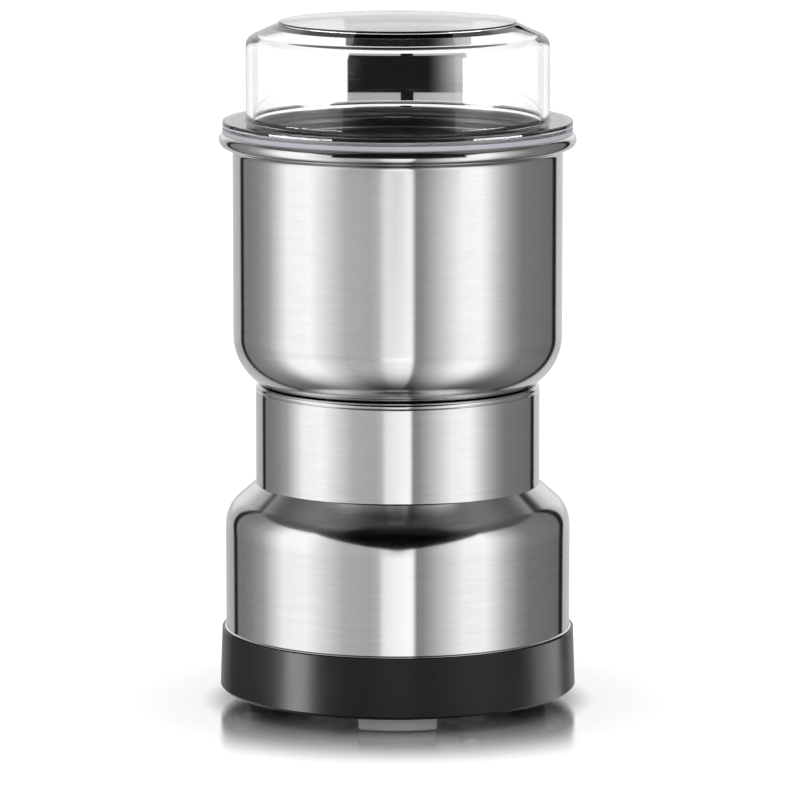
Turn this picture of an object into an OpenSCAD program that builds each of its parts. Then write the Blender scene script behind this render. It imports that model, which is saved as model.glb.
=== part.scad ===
// Electric spice grinder: double-walled steel bowl on a stepped motor housing,
// black base ring, clear lid that is pressed down to run the motor.
// Millimetres, +Z up, origin on the axis at the bottom of the feet. The cord leaves at +Y.

/* [Lid] */
// Height of the lid above its rim flange
lid_rise = 26.2; // [20:0.2:34]
// How far the lid's upright wall stands out over the skirt below it
lid_step = 0.3; // [0.1:0.1:0.6]
// Thickness of the lid's clear wall
lid_wall = 1.8; // [1.4:0.1:2.2]
// Radius of the raised disc on the lid's top
lid_disc_r = 31.5; // [26:0.5:33]
// Height of the step round the raised disc
lid_disc_step = 0.7; // [0.4:0.1:1.2]
// Slope of the lid's shoulder
lid_slope = 24.4; // [18:0.2:27]
// Thickness of the lid's rim flange
lid_flange_t = 2.1; // [1.8:0.1:2.6]
// How far the lid's rim flange reaches past the crest of the bowl's rim
lid_flange_over = 1.05; // [0.6:0.05:1.6]
// Depth of the skirt that locates the lid in the bowl
lid_skirt_h = 4; // [3:0.5:6]
// How far the leg that works the switch reaches below the flange
lid_leg_h = 6.2; // [5:0.2:10]
// How far the lid goes down when it is pressed
press_travel = 0.8; // [0.4:0.1:0.8]

/* [Bowl] */
// How far the bowl's outer shell overhangs the neck
bowl_overhang = 5.95; // [4.5:0.05:7]
// Height of the outer shell from its underside to the crest of its rolled rim
bowl_h = 69.1; // [60:0.5:80]
// Radius of the outer shell's bottom corner
bowl_corner_r = 15; // [13:0.5:16]
// Radius of the rolled rim's section
rim_bead_r = 2; // [1.6:0.1:2.2]
// How far the rolled rim stands out from the outer shell
rim_overhang = 3.6; // [3.2:0.1:4]
// Space between the walls of the two bowls
bowl_space = 2.45; // [2.1:0.05:3]
// Inner corner radius of the grinding bowl
cup_corner_r = 10; // [7:0.5:12]
// Thickness of all drawn steel
steel_t = 0.6; // [0.4:0.1:0.8]
// Space between the grinding bowl's floor and the outer shell's
floor_gap = 10.7; // [9:0.1:14]

/* [Blades] */
// Tip radius of both blades
blade_r = 33; // [26:0.5:35]
// Width of a blade at its middle
blade_w = 13; // [10:0.5:15]
// Thickness of a blade
blade_t = 1.2; // [0.8:0.1:1.6]
// Angle that the lower blade's tips turn up
lower_tip_angle = 12; // [5:1:20]
// Angle that the upper blade's tips turn up
upper_tip_angle = 32; // [20:1:36]

/* [Motor housing] */
// Space between the motor's stator and the inside of the neck
neck_space = 6.2; // [5.6:0.1:9]
// How much wider the housing is under its shoulder than at its neck, on the radius
shoulder_step = 8.1; // [7.5:0.1:10]
// How far the curled foot of the housing flares, on the radius
foot_flare = 1.1; // [0.8:0.1:1.6]
// Height from the housing's foot to where its shoulder starts to round
body_h = 29; // [26:0.5:34]
// Radius that rounds the shoulder
shoulder_r = 7; // [5:0.5:9]
// Slope of the shoulder
shoulder_slope = 40.8; // [35:0.2:44]
// Radius that rounds the neck in under the bowl
neck_lip_r = 4.5; // [4:0.5:7]

/* [Base] */
// How much wider the base ring is at its bottom than the housing, on the radius
base_flare = 0.5; // [0.3:0.1:1.5]
// Height of the base ring
base_h = 16.1; // [15:0.1:20]
// Wall of the base ring
base_wall = 2.6; // [2.2:0.1:3]
// Height of the feet below the base ring
foot_h = 4.1; // [3:0.1:6]
// Width of a foot
foot_w = 20.6; // [14:0.2:22]
// Depth of a foot, from front to back
foot_depth = 12; // [8:0.5:13]
// How far the feet stand in from the outside of the base ring
foot_inset = 4.9; // [3.5:0.1:8]
// Thickness of the base plate
plate_t = 2.5; // [2:0.1:3]
// Radius of the bore for the mains cord
cord_bore_r = 3.4; // [2.5:0.1:4]

/* [Motor] */
// Diameter of the motor's shaft
shaft_d = 6; // [5:0.5:7]
// Radius of the armature
armature_r = 15; // [13:0.5:17]
// Space that the coils have between the armature and the stator's yoke
coil_space = 8.5; // [7.5:0.5:11]
// Thickness of the stator's yoke
yoke_t = 7; // [6:0.5:9]
// Height of the steel stacks of armature and stator
stack_h = 22; // [18:1:24]
// Slots in the armature
armature_slots = 12; // [8:2:16]
// Radius of the commutator
commutator_r = 10; // [8:0.5:11]
// Copper segments of the commutator
commutator_segments = 24; // [12:4:28]
// Space between the cooling fan and the posts round it
fan_space = 1.9; // [1:0.1:6]
// Vanes of the cooling fan
fan_vanes = 11; // [7:1:15]
// Side of a carbon brush
brush_side = 5.6; // [4:0.2:6.4]

/* [Lid switch] */
// Length of the spring that lifts the rod and the lid
rod_spring_l = 7; // [5.5:0.5:9]
// Length of the switch's lever from its pivot to the rod
lever_arm = 11; // [9:0.5:13]
// Length of the switch
switch_l = 20; // [18:0.5:24]

/* [Hidden] */

$fn = 96;
small_fn = 32;
eps = 0.01;
run_gap = 0.03;   // between a shaft and its bearing, on the radius
seat_gap = 0.05;  // between fixed pieces that seat on each other
free_gap = 0.3;   // between pieces that move past each other

// Radii, from the motor out
bolt_post_r = 3.2;
bore_r = armature_r + 0.5;
pole_r = bore_r + coil_space;
stator_r = pole_r + yoke_t;
post_ring_r = stator_r - 3.4;
fan_r = post_ring_r - bolt_post_r - fan_space;
neck_r = stator_r + neck_space + steel_t;
body_r = neck_r + shoulder_step;
foot_curl_r = body_r + foot_flare;
base_r = foot_curl_r + base_flare;
bowl_r = neck_r + bowl_overhang;
cup_r = bowl_r - 2 * steel_t - bowl_space;
bead_r0 = bowl_r + rim_overhang - rim_bead_r;
skirt_r = cup_r - 0.2;
lid_r = skirt_r + lid_step;
lid_flange_r = bead_r0 + lid_flange_over;

// Heights, from the feet up
ring_z = foot_h;
plate_z = ring_z + 0.5;
plate_top = plate_z + plate_t;
body_z = ring_z + base_h;
shoulder_z = body_z + body_h;
frame_z = body_z + 2.6;
frame_t = 3;
stack_z = frame_z + 21.2;
stack_top = stack_z + stack_h;
winding_h = 5.6;
fan_z = stack_top + winding_h + 0.4;
fan_h = 4.4;
hub_z = fan_z + fan_h + 1.1;
shell_z = hub_z + 6.6;
shell_floor_top = shell_z + steel_t;
cup_z = shell_floor_top + floor_gap;
cup_floor_top = cup_z + steel_t;
crest_z = shell_z + bowl_h;
bead_z = crest_z - rim_bead_r;
flange_z = crest_z + 1;
flange_top = flange_z + lid_flange_t;
lid_top = flange_top + lid_rise;

// The neck's lip curls in under the bowl's round corner and leaves a narrow joint
lip_turn = 34;
lip_gap = 0.8;
lip_end_r = neck_r - neck_lip_r * (1 - cos(lip_turn));
lip_end_z = shell_z + bowl_corner_r
    - sqrt(pow(bowl_corner_r, 2) - pow(lip_end_r - bowl_r + bowl_corner_r, 2)) - lip_gap;
neck_lip_z = lip_end_z - neck_lip_r * sin(lip_turn);

// Motor
bearing_h = 6;
bush_r = shaft_d / 2 + 3.5;
commutator_z = frame_z + frame_t + 1.2;
commutator_h = 10;
brush_z = commutator_z + commutator_h / 2;
shaft_r = shaft_d / 2;
yoke_flat = stator_r - 4;
pole_angle = 38;
tip_angle = 60;
bolt_angles = [45, 225];
post_angles = [45, 135, 225, 315];

// Places round the axis
foot_angles = [270, 30, 150];
frame_angles = [0, 120, 240];
plate_screw_angles = [60, 180, 300];
boss_ring_r = base_r - 8.3;
foot_ring_r = base_r - foot_inset - foot_depth / 2;
bowl_screw_angles = [30, 150, 270];
bowl_screw_ring_r = 22;

// The rod that carries the lid's push down to the switch, at +Y
rod_t = bowl_space - 0.95;
rod_w = 8;
rod_stem_w = 4;
rod_outer_y = cup_r + steel_t + 0.4 + rod_t;
rod_stem_y = neck_r - 2.2;
rod_top = flange_z - lid_leg_h;
switch_z = frame_z + frame_t + 4.8;
switch_h = 9.6;
switch_t = 6.4;
switch_y = rod_stem_y - rod_t / 2;
shelf_z = switch_z + 12.8;
shelf_t = 2;
plunger_arm = lever_arm / 2;
switch_screw_x = [3 - lever_arm, switch_l - lever_arm - 5.5];
plunger_h = 1.4;
lever_t = 0.5;
lever_z = switch_z + switch_h + plunger_h;
rod_foot_z = lever_z + lever_t + seat_gap;
collar_z = shelf_z + shelf_t + rod_spring_l;

// Blades
collar_top = cup_floor_top + 7.6;
nut_flat = 10;

// Points of an arc in a profile, round centre c, from angle a0 to a1
function arc(c, r, a0, a1, steps = 10) =
    [for (i = [0:steps]) let (a = a0 + (a1 - a0) * i / steps) [c[0] + r * cos(a), c[1] + r * sin(a)]];

module ring(r_in, r_out, h) {
    difference() {
        cylinder(r = r_out, h = h);
        translate([0, 0, -eps]) cylinder(r = r_in, h = h + 2 * eps);
    }
}

module revolve(points) {
    rotate_extrude() polygon(points);
}

module around(angles, radius) {
    for (a = angles) rotate([0, 0, a]) translate([radius, 0, 0]) children();
}

// Flat sector of a ring, centred on direction 0
module sector(r_in, r_out, half_angle) {
    reach = r_out * 1.6;
    difference() {
        intersection() {
            circle(r = r_out);
            polygon([[0, 0],
                     [reach * cos(half_angle), -reach * sin(half_angle)],
                     [reach, -reach * tan(half_angle / 2)],
                     [reach, reach * tan(half_angle / 2)],
                     [reach * cos(half_angle), reach * sin(half_angle)]]);
        }
        circle(r = r_in);
    }
}

// Pan-head screw standing on its head plane at z = 0, shank down
module screw(head_r, head_h, shank_r, length) {
    difference() {
        union() {
            cylinder(r = head_r, h = head_h * 0.6, $fn = small_fn);
            translate([0, 0, head_h * 0.6])
                cylinder(r1 = head_r, r2 = head_r * 0.7, h = head_h * 0.4, $fn = small_fn);
            translate([0, 0, -length]) cylinder(r = shank_r, h = length, $fn = small_fn);
        }
        for (turn = [0, 90]) {
            rotate([0, 0, turn])
                translate([-head_r * 0.6, -0.35, head_h * 0.45]) cube([head_r * 1.2, 0.7, head_h]);
        }
    }
}

// ---- Lid ----

// Outline of the lid's outside (inset = 0) or inside (inset = lid_wall), from the wall up to the axis
function lid_outline(inset, z_from) =
    let (round_r = 3,
         disc_z = lid_top - lid_disc_step,
         turn = 90 - lid_slope,
         shoulder_run = lid_r - round_r * (1 - cos(turn)) - lid_disc_r - 0.3,
         round_z = disc_z - shoulder_run * tan(lid_slope) - round_r * sin(turn),
         top = inset > 0 ? lid_top - 2.1 : disc_z,
         inner = round_r - inset,
         end = [lid_r - round_r + inner * cos(turn), round_z + inner * sin(turn)])
    concat([[lid_r - inset, z_from]],
           arc([lid_r - round_r, round_z], inner, 0, turn),
           [[end[0] - (top - end[1]) / tan(lid_slope), top], [0, top]]);

module lid_shell() {
    leg_y = rod_outer_y - rod_t / 2;
    color([0.9, 0.93, 0.95, 0.35]) {
        difference() {
            union() {
                revolve(concat([[0, flange_z - lid_skirt_h],
                                [skirt_r, flange_z - lid_skirt_h],
                                [skirt_r, flange_z],
                                [lid_flange_r - 0.3, flange_z],
                                [lid_flange_r, flange_z + 0.3],
                                [lid_flange_r, flange_top - 0.3],
                                [lid_flange_r - 0.3, flange_top],
                                [lid_r + 0.5, flange_top]],
                               lid_outline(0, flange_top + 0.5)));
                revolve(concat([[0, lid_top - lid_disc_step - eps],
                                [lid_disc_r, lid_top - lid_disc_step - eps]],
                               arc([lid_disc_r - 0.25, lid_top - 0.25], 0.25, 0, 90, 3),
                               [[0, lid_top]]));
            }
            revolve(concat([[0, flange_z - lid_skirt_h - eps],
                            [skirt_r - lid_wall + 0.3, flange_z - lid_skirt_h - eps],
                            [skirt_r - lid_wall + 0.3, flange_z - 0.6]],
                           lid_outline(lid_wall, flange_z)));
            // groove for the seal's tongue
            translate([0, 0, flange_z - eps]) ring(bead_r0 - 0.9, bead_r0 + 0.3, 1 + eps);
        }
        translate([-3.5, leg_y - 0.7, rod_top + seat_gap]) cube([7, 1.4, lid_leg_h]);
    }
}

module lid_seal() {
    clear = rim_bead_r + seat_gap;
    start = acos((bead_r0 - 1 - bead_r0) / clear);
    end = acos((lid_flange_r - bead_r0) / clear);
    color([0.72, 0.75, 0.82])
    revolve(concat([[bead_r0 - 2.3, crest_z - 0.2]],
                   arc([bead_r0, bead_z], clear, start, end, 8),
                   [[lid_flange_r, flange_z],
                    [bead_r0 + 0.3, flange_z],
                    [bead_r0 + 0.3, flange_z + 0.95],
                    [bead_r0 - 0.9, flange_z + 0.95],
                    [bead_r0 - 0.9, flange_z],
                    [bead_r0 - 2.3, flange_z]]));
}

// ---- Lid switch ----

module push_rod() {
    stem_in = rod_stem_y - rod_t;
    joggle_top = cup_z + 4.5;
    joggle_low = shell_z + 6;
    nose_r = rod_stem_w / 2 - 0.2;
    color([0.2, 0.2, 0.22]) {
        rotate([90, 0, 90]) translate([0, 0, -rod_w / 2]) linear_extrude(rod_w)
            polygon([[rod_outer_y - rod_t, joggle_top + 0.4], [rod_outer_y, joggle_top],
                     [rod_outer_y, rod_top], [rod_outer_y - rod_t, rod_top]]);
        rotate([90, 0, 90]) translate([0, 0, -rod_stem_w / 2]) linear_extrude(rod_stem_w)
            polygon([[stem_in, rod_foot_z + nose_r], [rod_stem_y, rod_foot_z + nose_r],
                     [rod_stem_y, joggle_low],
                     [rod_outer_y, joggle_top], [rod_outer_y, joggle_top + 2],
                     [rod_outer_y - rod_t, joggle_top + 2], [rod_outer_y - rod_t, joggle_top + 0.4],
                     [stem_in, joggle_low + 0.4]]);
        // round nose that slides on the switch's lever
        translate([0, rod_stem_y, rod_foot_z + nose_r])
            rotate([90, 0, 0]) cylinder(r = nose_r, h = rod_t, $fn = small_fn);
        translate([0, rod_stem_y - rod_t / 2, collar_z]) cylinder(r = 3.4, h = 1.2, $fn = small_fn);
    }
}

// A coil spring from z0 to z1 round the origin, as one swept tube
module coil(mean_r, wire_r, z0, z1, turns, sides = 6, steps = 16) {
    rings = turns * steps;
    rise = z1 - z0 - 2 * wire_r;
    points = [for (i = [0:rings], k = [0:sides - 1])
        let (a = 360 * i / steps,
             b = 360 * k / sides,
             r = mean_r + wire_r * cos(b),
             z = z0 + wire_r + rise * i / rings + wire_r * sin(b))
        [r * cos(a), r * sin(a), z]];
    walls = [for (i = [0:rings - 1], k = [0:sides - 1], half = [0, 1])
        let (p = i * sides + k, q = i * sides + (k + 1) % sides)
        half == 0 ? [p, p + sides, q] : [q, p + sides, q + sides]];
    start_cap = [for (k = [1:sides - 2]) [0, k, k + 1]];
    last = rings * sides;
    end_cap = [for (k = [1:sides - 2]) [last, last + k + 1, last + k]];
    polyhedron(points, concat(walls, start_cap, end_cap));
}

module rod_spring() {
    color("silver")
    translate([0, rod_stem_y - rod_t / 2, 0])
        coil(2.9, 0.35, shelf_z + shelf_t + 0.05, collar_z - 0.05, 6);
}

module switch_lever() {
    color("silver")
    translate([-lever_arm, switch_y, lever_z]) {
        translate([0, -2.2, 0]) cube([lever_arm + 3, 4.4, lever_t]);
        translate([0, 2.2, -0.3]) rotate([90, 0, 0]) cylinder(r = 0.8, h = 4.4, $fn = small_fn);
    }
}

module switch_plunger() {
    color("firebrick")
    translate([plunger_arm - lever_arm, switch_y, lever_z - seat_gap - 1.2])
        revolve(concat([[0, -2]], [[1.2, -2]], arc([0, 0], 1.2, 0, 90, 8)));
}

module switch_body() {
    color([0.12, 0.12, 0.13])
    difference() {
        union() {
            translate([-lever_arm - 2, switch_y - switch_t / 2, switch_z])
                cube([switch_l, switch_t, switch_h]);
            // ears that hold the lever's pivot
            for (side = [-1, 1]) {
                translate([-lever_arm - 1.6, switch_y + side * 2.85 - 0.35, switch_z + switch_h - eps])
                    cube([3.2, 0.7, 1.9]);
            }
            // terminals
            for (x = [-lever_arm + 1, -lever_arm + switch_l / 2 - 1, -lever_arm + switch_l - 3.6]) {
                translate([x, switch_y - 1.6, switch_z - 4]) cube([0.8, 3.2, 4 + eps]);
            }
        }
        translate([plunger_arm - lever_arm, switch_y, switch_z + switch_h - 3])
            cylinder(r = 1.2 + free_gap, h = 4, $fn = small_fn);
        for (x = switch_screw_x) {
            translate([x, switch_y + switch_t, switch_z + 3])
                rotate([90, 0, 0]) cylinder(r = 1.3, h = 2 * switch_t, $fn = small_fn);
        }
    }
}

module switch_bracket() {
    back_y = switch_y + switch_t / 2 + seat_gap;
    color([0.85, 0.85, 0.8])
    difference() {
        union() {
            translate([-lever_arm - 3, back_y, frame_z + frame_t])
                cube([switch_l + 2, 2.4, shelf_z + shelf_t - frame_z - frame_t]);
            translate([-lever_arm - 3, switch_y - switch_t / 2, shelf_z])
                cube([switch_l + 2, switch_t + 1, shelf_t]);
        }
        translate([-rod_stem_w / 2 - free_gap, switch_y - rod_t / 2 - free_gap, shelf_z - eps])
            cube([rod_stem_w + 2 * free_gap, rod_t + 2 * free_gap, shelf_t + 2 * eps]);
        for (x = switch_screw_x) {
            translate([x, back_y + 3, switch_z + 3])
                rotate([90, 0, 0]) cylinder(r = 1.3, h = 4, $fn = small_fn);
        }
    }
}

module switch_screws() {
    color("silver")
    for (x = switch_screw_x) {
        translate([x, switch_y - switch_t / 2 - seat_gap, switch_z + 3])
            rotate([90, 0, 0]) screw(2.2, 1.6, 1.2, switch_t + 2.4);
    }
}

// ---- Bowl ----

module rod_slot(z0, h) {
    translate([-rod_stem_w / 2 - 0.6, rod_stem_y - rod_t - 0.4, z0])
        cube([rod_stem_w + 1.2, rod_t + 0.7, h]);
}

module bowl_shell() {
    corner = [bowl_r - bowl_corner_r, shell_z + bowl_corner_r];
    color([0.75, 0.75, 0.74])
    difference() {
        revolve(concat([[15, shell_z]],
                       arc(corner, bowl_corner_r, -90, 0, 12),
                       [[bowl_r, bead_z - rim_bead_r - 1.6]],
                       arc([bowl_r + 1.4, bead_z - rim_bead_r - 1.5], 1.4, 180, 112, 4),
                       arc([bead_r0, bead_z], rim_bead_r, -82, 180, 20),
                       [[bowl_r - steel_t, bead_z - rim_bead_r]],
                       arc(corner, bowl_corner_r - steel_t, 0, -90, 12),
                       [[15, shell_z + steel_t]]));
        rod_slot(shell_z, 4);
        around(bowl_screw_angles, bowl_screw_ring_r)
            translate([0, 0, shell_z - eps]) cylinder(r = 2.3, h = 2, $fn = small_fn);
    }
}

module grinding_bowl() {
    corner = [cup_r - cup_corner_r, cup_floor_top + cup_corner_r];
    lip_z = crest_z - 0.3;
    edge_r = bead_r0 - sqrt(pow(rim_bead_r, 2) - pow(lip_z - steel_t - bead_z, 2)) - seat_gap;
    color([0.78, 0.78, 0.77])
    difference() {
        revolve(concat([[8, cup_z]],
                       arc(corner, cup_corner_r + steel_t, -90, 0, 10),
                       arc([cup_r + 1.2, lip_z - 1.2], 0.6, 180, 90, 4),
                       [[edge_r, lip_z - steel_t], [edge_r, lip_z]],
                       arc([cup_r + 1.2, lip_z - 1.2], 1.2, 90, 180, 6),
                       arc(corner, cup_corner_r, 0, -90, 10),
                       [[8, cup_floor_top]]));
        translate([-rod_w / 2, rod_outer_y - rod_t - 0.1, lip_z - 3]) cube([rod_w, rod_t + 0.2, 4]);
        around(bowl_screw_angles, bowl_screw_ring_r)
            translate([0, 0, cup_z - eps]) cylinder(r = 2.3, h = 2, $fn = small_fn);
    }
}

module bowl_mount() {
    z0 = shell_floor_top + seat_gap;
    h = cup_z - seat_gap - z0;
    rim_r = bowl_r - bowl_corner_r + 0.5;
    color([0.16, 0.16, 0.17])
    translate([0, 0, z0]) linear_extrude(h)
    difference() {
        union() {
            difference() {
                circle(r = rim_r);
                circle(r = rim_r - 3);
            }
            circle(r = 13);
            around(bowl_screw_angles, bowl_screw_ring_r) circle(r = 4.5, $fn = small_fn);
            for (a = [0:60:359]) {
                rotate([0, 0, a + 30]) translate([10, -1]) square([rim_r - 11, 2]);
            }
        }
        circle(r = 8.1);
        around(bowl_screw_angles, bowl_screw_ring_r) circle(r = 2.3, $fn = small_fn);
    }
}

module bowl_hub() {
    color([0.12, 0.12, 0.13])
    revolve([[shaft_r + 0.5, cup_z - 6], [7.9, cup_z - 6], [7.9, cup_floor_top + seat_gap],
             [13, cup_floor_top + seat_gap], [13, cup_floor_top + 1], [9.4, cup_floor_top + 2.2],
             [8.2, cup_floor_top + 6], [6.3, cup_floor_top + 6], [6.3, cup_floor_top + 1.5],
             [shaft_r + 0.5, cup_floor_top + 1.5]]);
}

module shaft_seal() {
    color([0.25, 0.25, 0.27])
    translate([0, 0, cup_floor_top + 1.55])
        revolve([[shaft_r + 0.1, 0], [6.25, 0], [6.25, 4.2], [4.6, 4.2], [shaft_r + 0.1, 3]]);
}

module bowl_screws() {
    color("silver")
    around(bowl_screw_angles, bowl_screw_ring_r)
        translate([0, 0, cup_floor_top + seat_gap]) screw(4, 2.6, 2, cup_floor_top - hub_z - 1);
}

// ---- Motor housing ----

// Outline of the housing, from the curled foot up to the neck's lip, inset by the wall
function housing_outline(inset) =
    let (turn = 90 - shoulder_slope,
         round_c = [body_r - shoulder_r, shoulder_z],
         round_end = [round_c[0] + (shoulder_r - inset) * cos(turn),
                      round_c[1] + (shoulder_r - inset) * sin(turn)],
         neck_in = neck_r - inset,
         neck_z = round_end[1] + (round_end[0] - neck_in) * tan(shoulder_slope))
    concat([[foot_curl_r - inset, body_z],
            [foot_curl_r - inset, body_z + 1.2],
            [foot_curl_r - 0.3 - inset, body_z + 2.2],
            [body_r + 0.2 - inset, body_z + 4.4]],
           arc(round_c, shoulder_r - inset, 0, turn, 8),
           [[neck_in + 0.6, neck_z - 0.6 * tan(shoulder_slope)], [neck_in, neck_z + 0.5]],
           arc([neck_r - neck_lip_r, neck_lip_z], neck_lip_r - inset, 0, lip_turn, 6));

module motor_housing() {
    outside = housing_outline(0);
    inside = housing_outline(steel_t);
    last = len(inside) - 1;
    color([0.73, 0.73, 0.72])
    revolve(concat(outside, [for (i = [last:-1:0]) inside[i]]));
}

// ---- Motor ----

module upper_bracket() {
    top = shell_z - seat_gap;
    rim_r = neck_r - steel_t - 0.25;
    disc_t = 2.6;
    hub_h = top - hub_z;
    color([0.2, 0.2, 0.21])
    difference() {
        union() {
            translate([0, 0, top - disc_t]) cylinder(r = rim_r - 0.8, h = disc_t);
            translate([0, 0, hub_z]) ring(rim_r - 2.6, rim_r, hub_h - 1.2);
            translate([0, 0, hub_z]) cylinder(r = bush_r + 3, h = hub_h);
            around(bowl_screw_angles, bowl_screw_ring_r)
                translate([0, 0, hub_z]) cylinder(r = 4, h = hub_h, $fn = small_fn);
            around(post_angles, post_ring_r)
                translate([0, 0, stack_top + seat_gap])
                    cylinder(r = bolt_post_r, h = top - stack_top - 1, $fn = small_fn);
        }
        translate([0, 0, hub_z - eps]) cylinder(r = bush_r + seat_gap, h = bearing_h);
        translate([0, 0, hub_z - eps]) cylinder(r = shaft_r + 0.5, h = hub_h + 1);
        around(bowl_screw_angles, bowl_screw_ring_r)
            translate([0, 0, hub_z - eps]) cylinder(r = 2.1, h = hub_h + 1, $fn = small_fn);
        around(bolt_angles, post_ring_r)
            translate([0, 0, stack_top]) cylinder(r = 1.9, h = top - stack_top - 2.6, $fn = small_fn);
        rod_slot(hub_z - 1, hub_h + 2);
        // air slots between the hub and the rim
        for (a = [0:60:359]) {
            rotate([0, 0, a]) translate([13, -2, top - disc_t - eps]) cube([11, 4, disc_t + 1]);
        }
    }
}

module bush(z) {
    color([0.72, 0.55, 0.3])
    translate([0, 0, z]) ring(shaft_r + run_gap, bush_r, bearing_h - 0.2);
}

module top_bearing() {
    bush(hub_z + 0.1);
}

module bottom_bearing() {
    bush(frame_z + frame_t - bearing_h - 0.9);
}

module stator_core() {
    color([0.5, 0.5, 0.52])
    translate([0, 0, stack_z]) linear_extrude(stack_h)
    difference() {
        union() {
            difference() {
                intersection() {
                    circle(r = stator_r);
                    square([2 * yoke_flat, 2 * yoke_flat], center = true);
                }
                circle(r = pole_r);
            }
            for (side = [90, 270]) {
                rotate([0, 0, side]) {
                    sector(bore_r, pole_r + 0.3, pole_angle);
                    sector(bore_r, bore_r + 1.5, tip_angle);
                }
            }
        }
        around(post_angles, post_ring_r) circle(r = 1.9, $fn = small_fn);
    }
}

module field_coils() {
    color([0.72, 0.38, 0.2])
    for (side = [90, 270]) {
        rotate([0, 0, side])
        difference() {
            translate([0, 0, stack_z - winding_h]) linear_extrude(stack_h + 2 * winding_h)
                sector(bore_r + 1.8, pole_r - 0.3, tip_angle - 1);
            translate([0, 0, stack_z - free_gap]) linear_extrude(stack_h + 2 * free_gap)
                sector(bore_r + 1, pole_r + 1, pole_angle + 1);
        }
    }
}

module stator_bolts() {
    length = stack_top - frame_z + 8;
    color("silver")
    around(bolt_angles, post_ring_r)
        translate([0, 0, frame_z - seat_gap]) rotate([180, 0, 0]) screw(3.2, 2.4, 1.7, length);
}

module lower_bracket() {
    color([0.2, 0.2, 0.21])
    difference() {
        union() {
            translate([0, 0, frame_z]) cylinder(r = stator_r + 2, h = frame_t);
            translate([0, 0, frame_z + frame_t - bearing_h - 1]) cylinder(r = bush_r + 3, h = bearing_h + 1);
            for (a = frame_angles) {
                rotate([0, 0, a]) translate([stator_r - 1, -5, frame_z])
                    cube([boss_ring_r - stator_r + 1, 10, frame_t]);
            }
            around(frame_angles, boss_ring_r)
                translate([0, 0, frame_z]) cylinder(r = 5, h = frame_t + 4, $fn = small_fn);
            // pad that carries the switch's bracket
            translate([-lever_arm - 3, stator_r - 3, frame_z])
                cube([switch_l + 2, switch_y + switch_t / 2 + 3.4 - stator_r + 3, frame_t - seat_gap]);
            around(post_angles, post_ring_r)
                translate([0, 0, frame_z])
                    cylinder(r = 3.4, h = stack_z - frame_z - seat_gap, $fn = small_fn);
            // cradles of the two brush holders
            for (side = [0, 180]) {
                rotate([0, 0, side]) translate([commutator_r + 4, -6.5, frame_z])
                    cube([12, 13, brush_z - frame_z]);
            }
        }
        translate([0, 0, frame_z + frame_t - bearing_h - 1 - eps])
            cylinder(r = bush_r + seat_gap, h = bearing_h + 0.2);
        translate([0, 0, frame_z - 10]) cylinder(r = shaft_r + 0.5, h = 20);
        around(frame_angles, boss_ring_r)
            translate([0, 0, frame_z - eps]) cylinder(r = 1.7, h = frame_t + 3, $fn = small_fn);
        around(bolt_angles, post_ring_r)
            translate([0, 0, frame_z - 1]) cylinder(r = 1.9, h = stack_z - frame_z + 2, $fn = small_fn);
        for (side = [0, 180]) {
            rotate([0, 0, side])
                translate([commutator_r + 3, -brush_side / 2 - 1.3, brush_z - brush_side / 2 - 1.3])
                cube([14, brush_side + 2.6, 20]);
        }
        // air slots
        for (a = [30:60:359]) {
            rotate([0, 0, a]) translate([13, -2.5, frame_z - 1]) cube([10, 5, frame_t + 2]);
        }
    }
}

module brush_place() {
    for (side = [0, 180]) rotate([0, 0, side]) translate([0, 0, brush_z]) children();
}

module brush_holders() {
    outer = brush_side + 2.4;
    inner = brush_side + 0.4;
    color([0.75, 0.6, 0.3])
    brush_place()
        difference() {
            translate([commutator_r + 2, -outer / 2, -outer / 2]) cube([16, outer, outer]);
            translate([commutator_r + 1, -inner / 2, -inner / 2]) cube([18, inner, inner]);
        }
}

module carbon_brushes() {
    color([0.12, 0.12, 0.12])
    brush_place()
        intersection() {
            translate([commutator_r - 1, -brush_side / 2, -brush_side / 2])
                cube([11, brush_side, brush_side]);
            translate([0, 0, -brush_side]) ring(commutator_r + 0.1, commutator_r + 20, 2 * brush_side);
        }
}

module brush_springs() {
    color("silver")
    brush_place()
        translate([commutator_r + 10.05, 0, 0]) rotate([0, 90, 0]) coil(1.9, 0.3, 0, 6, 5, 6, 12);
}

module brush_caps() {
    color([0.12, 0.12, 0.12])
    brush_place()
        translate([commutator_r + 16.1, 0, 0]) {
            translate([0, -brush_side / 2, -brush_side / 2]) cube([1.9, brush_side, brush_side]);
            translate([1.9, -brush_side / 2 - 1.2, -brush_side / 2 - 1.2])
                cube([1.6, brush_side + 2.4, brush_side + 2.4]);
        }
}

// ---- Rotor ----

module motor_shaft() {
    color([0.75, 0.75, 0.76])
    translate([0, 0, frame_z + frame_t - bearing_h - 0.6])
        cylinder(r = shaft_r, h = collar_top + 2 * blade_t + 5 - frame_z - frame_t + bearing_h + 0.6);
}

module on_shaft(z, h) {
    translate([0, 0, z]) difference() {
        children();
        translate([0, 0, -1]) cylinder(r = shaft_r + seat_gap / 2, h = h + 2);
    }
}

module armature_core() {
    color([0.5, 0.5, 0.52])
    on_shaft(stack_z, stack_h)
        linear_extrude(stack_h)
        difference() {
            circle(r = armature_r);
            for (i = [0:armature_slots - 1]) {
                rotate([0, 0, i * 360 / armature_slots]) {
                    translate([armature_r - 4.2, 0]) circle(r = 1.7, $fn = small_fn);
                    translate([armature_r - 4.2, -0.5]) square([5, 1]);
                }
            }
        }
}

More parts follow.
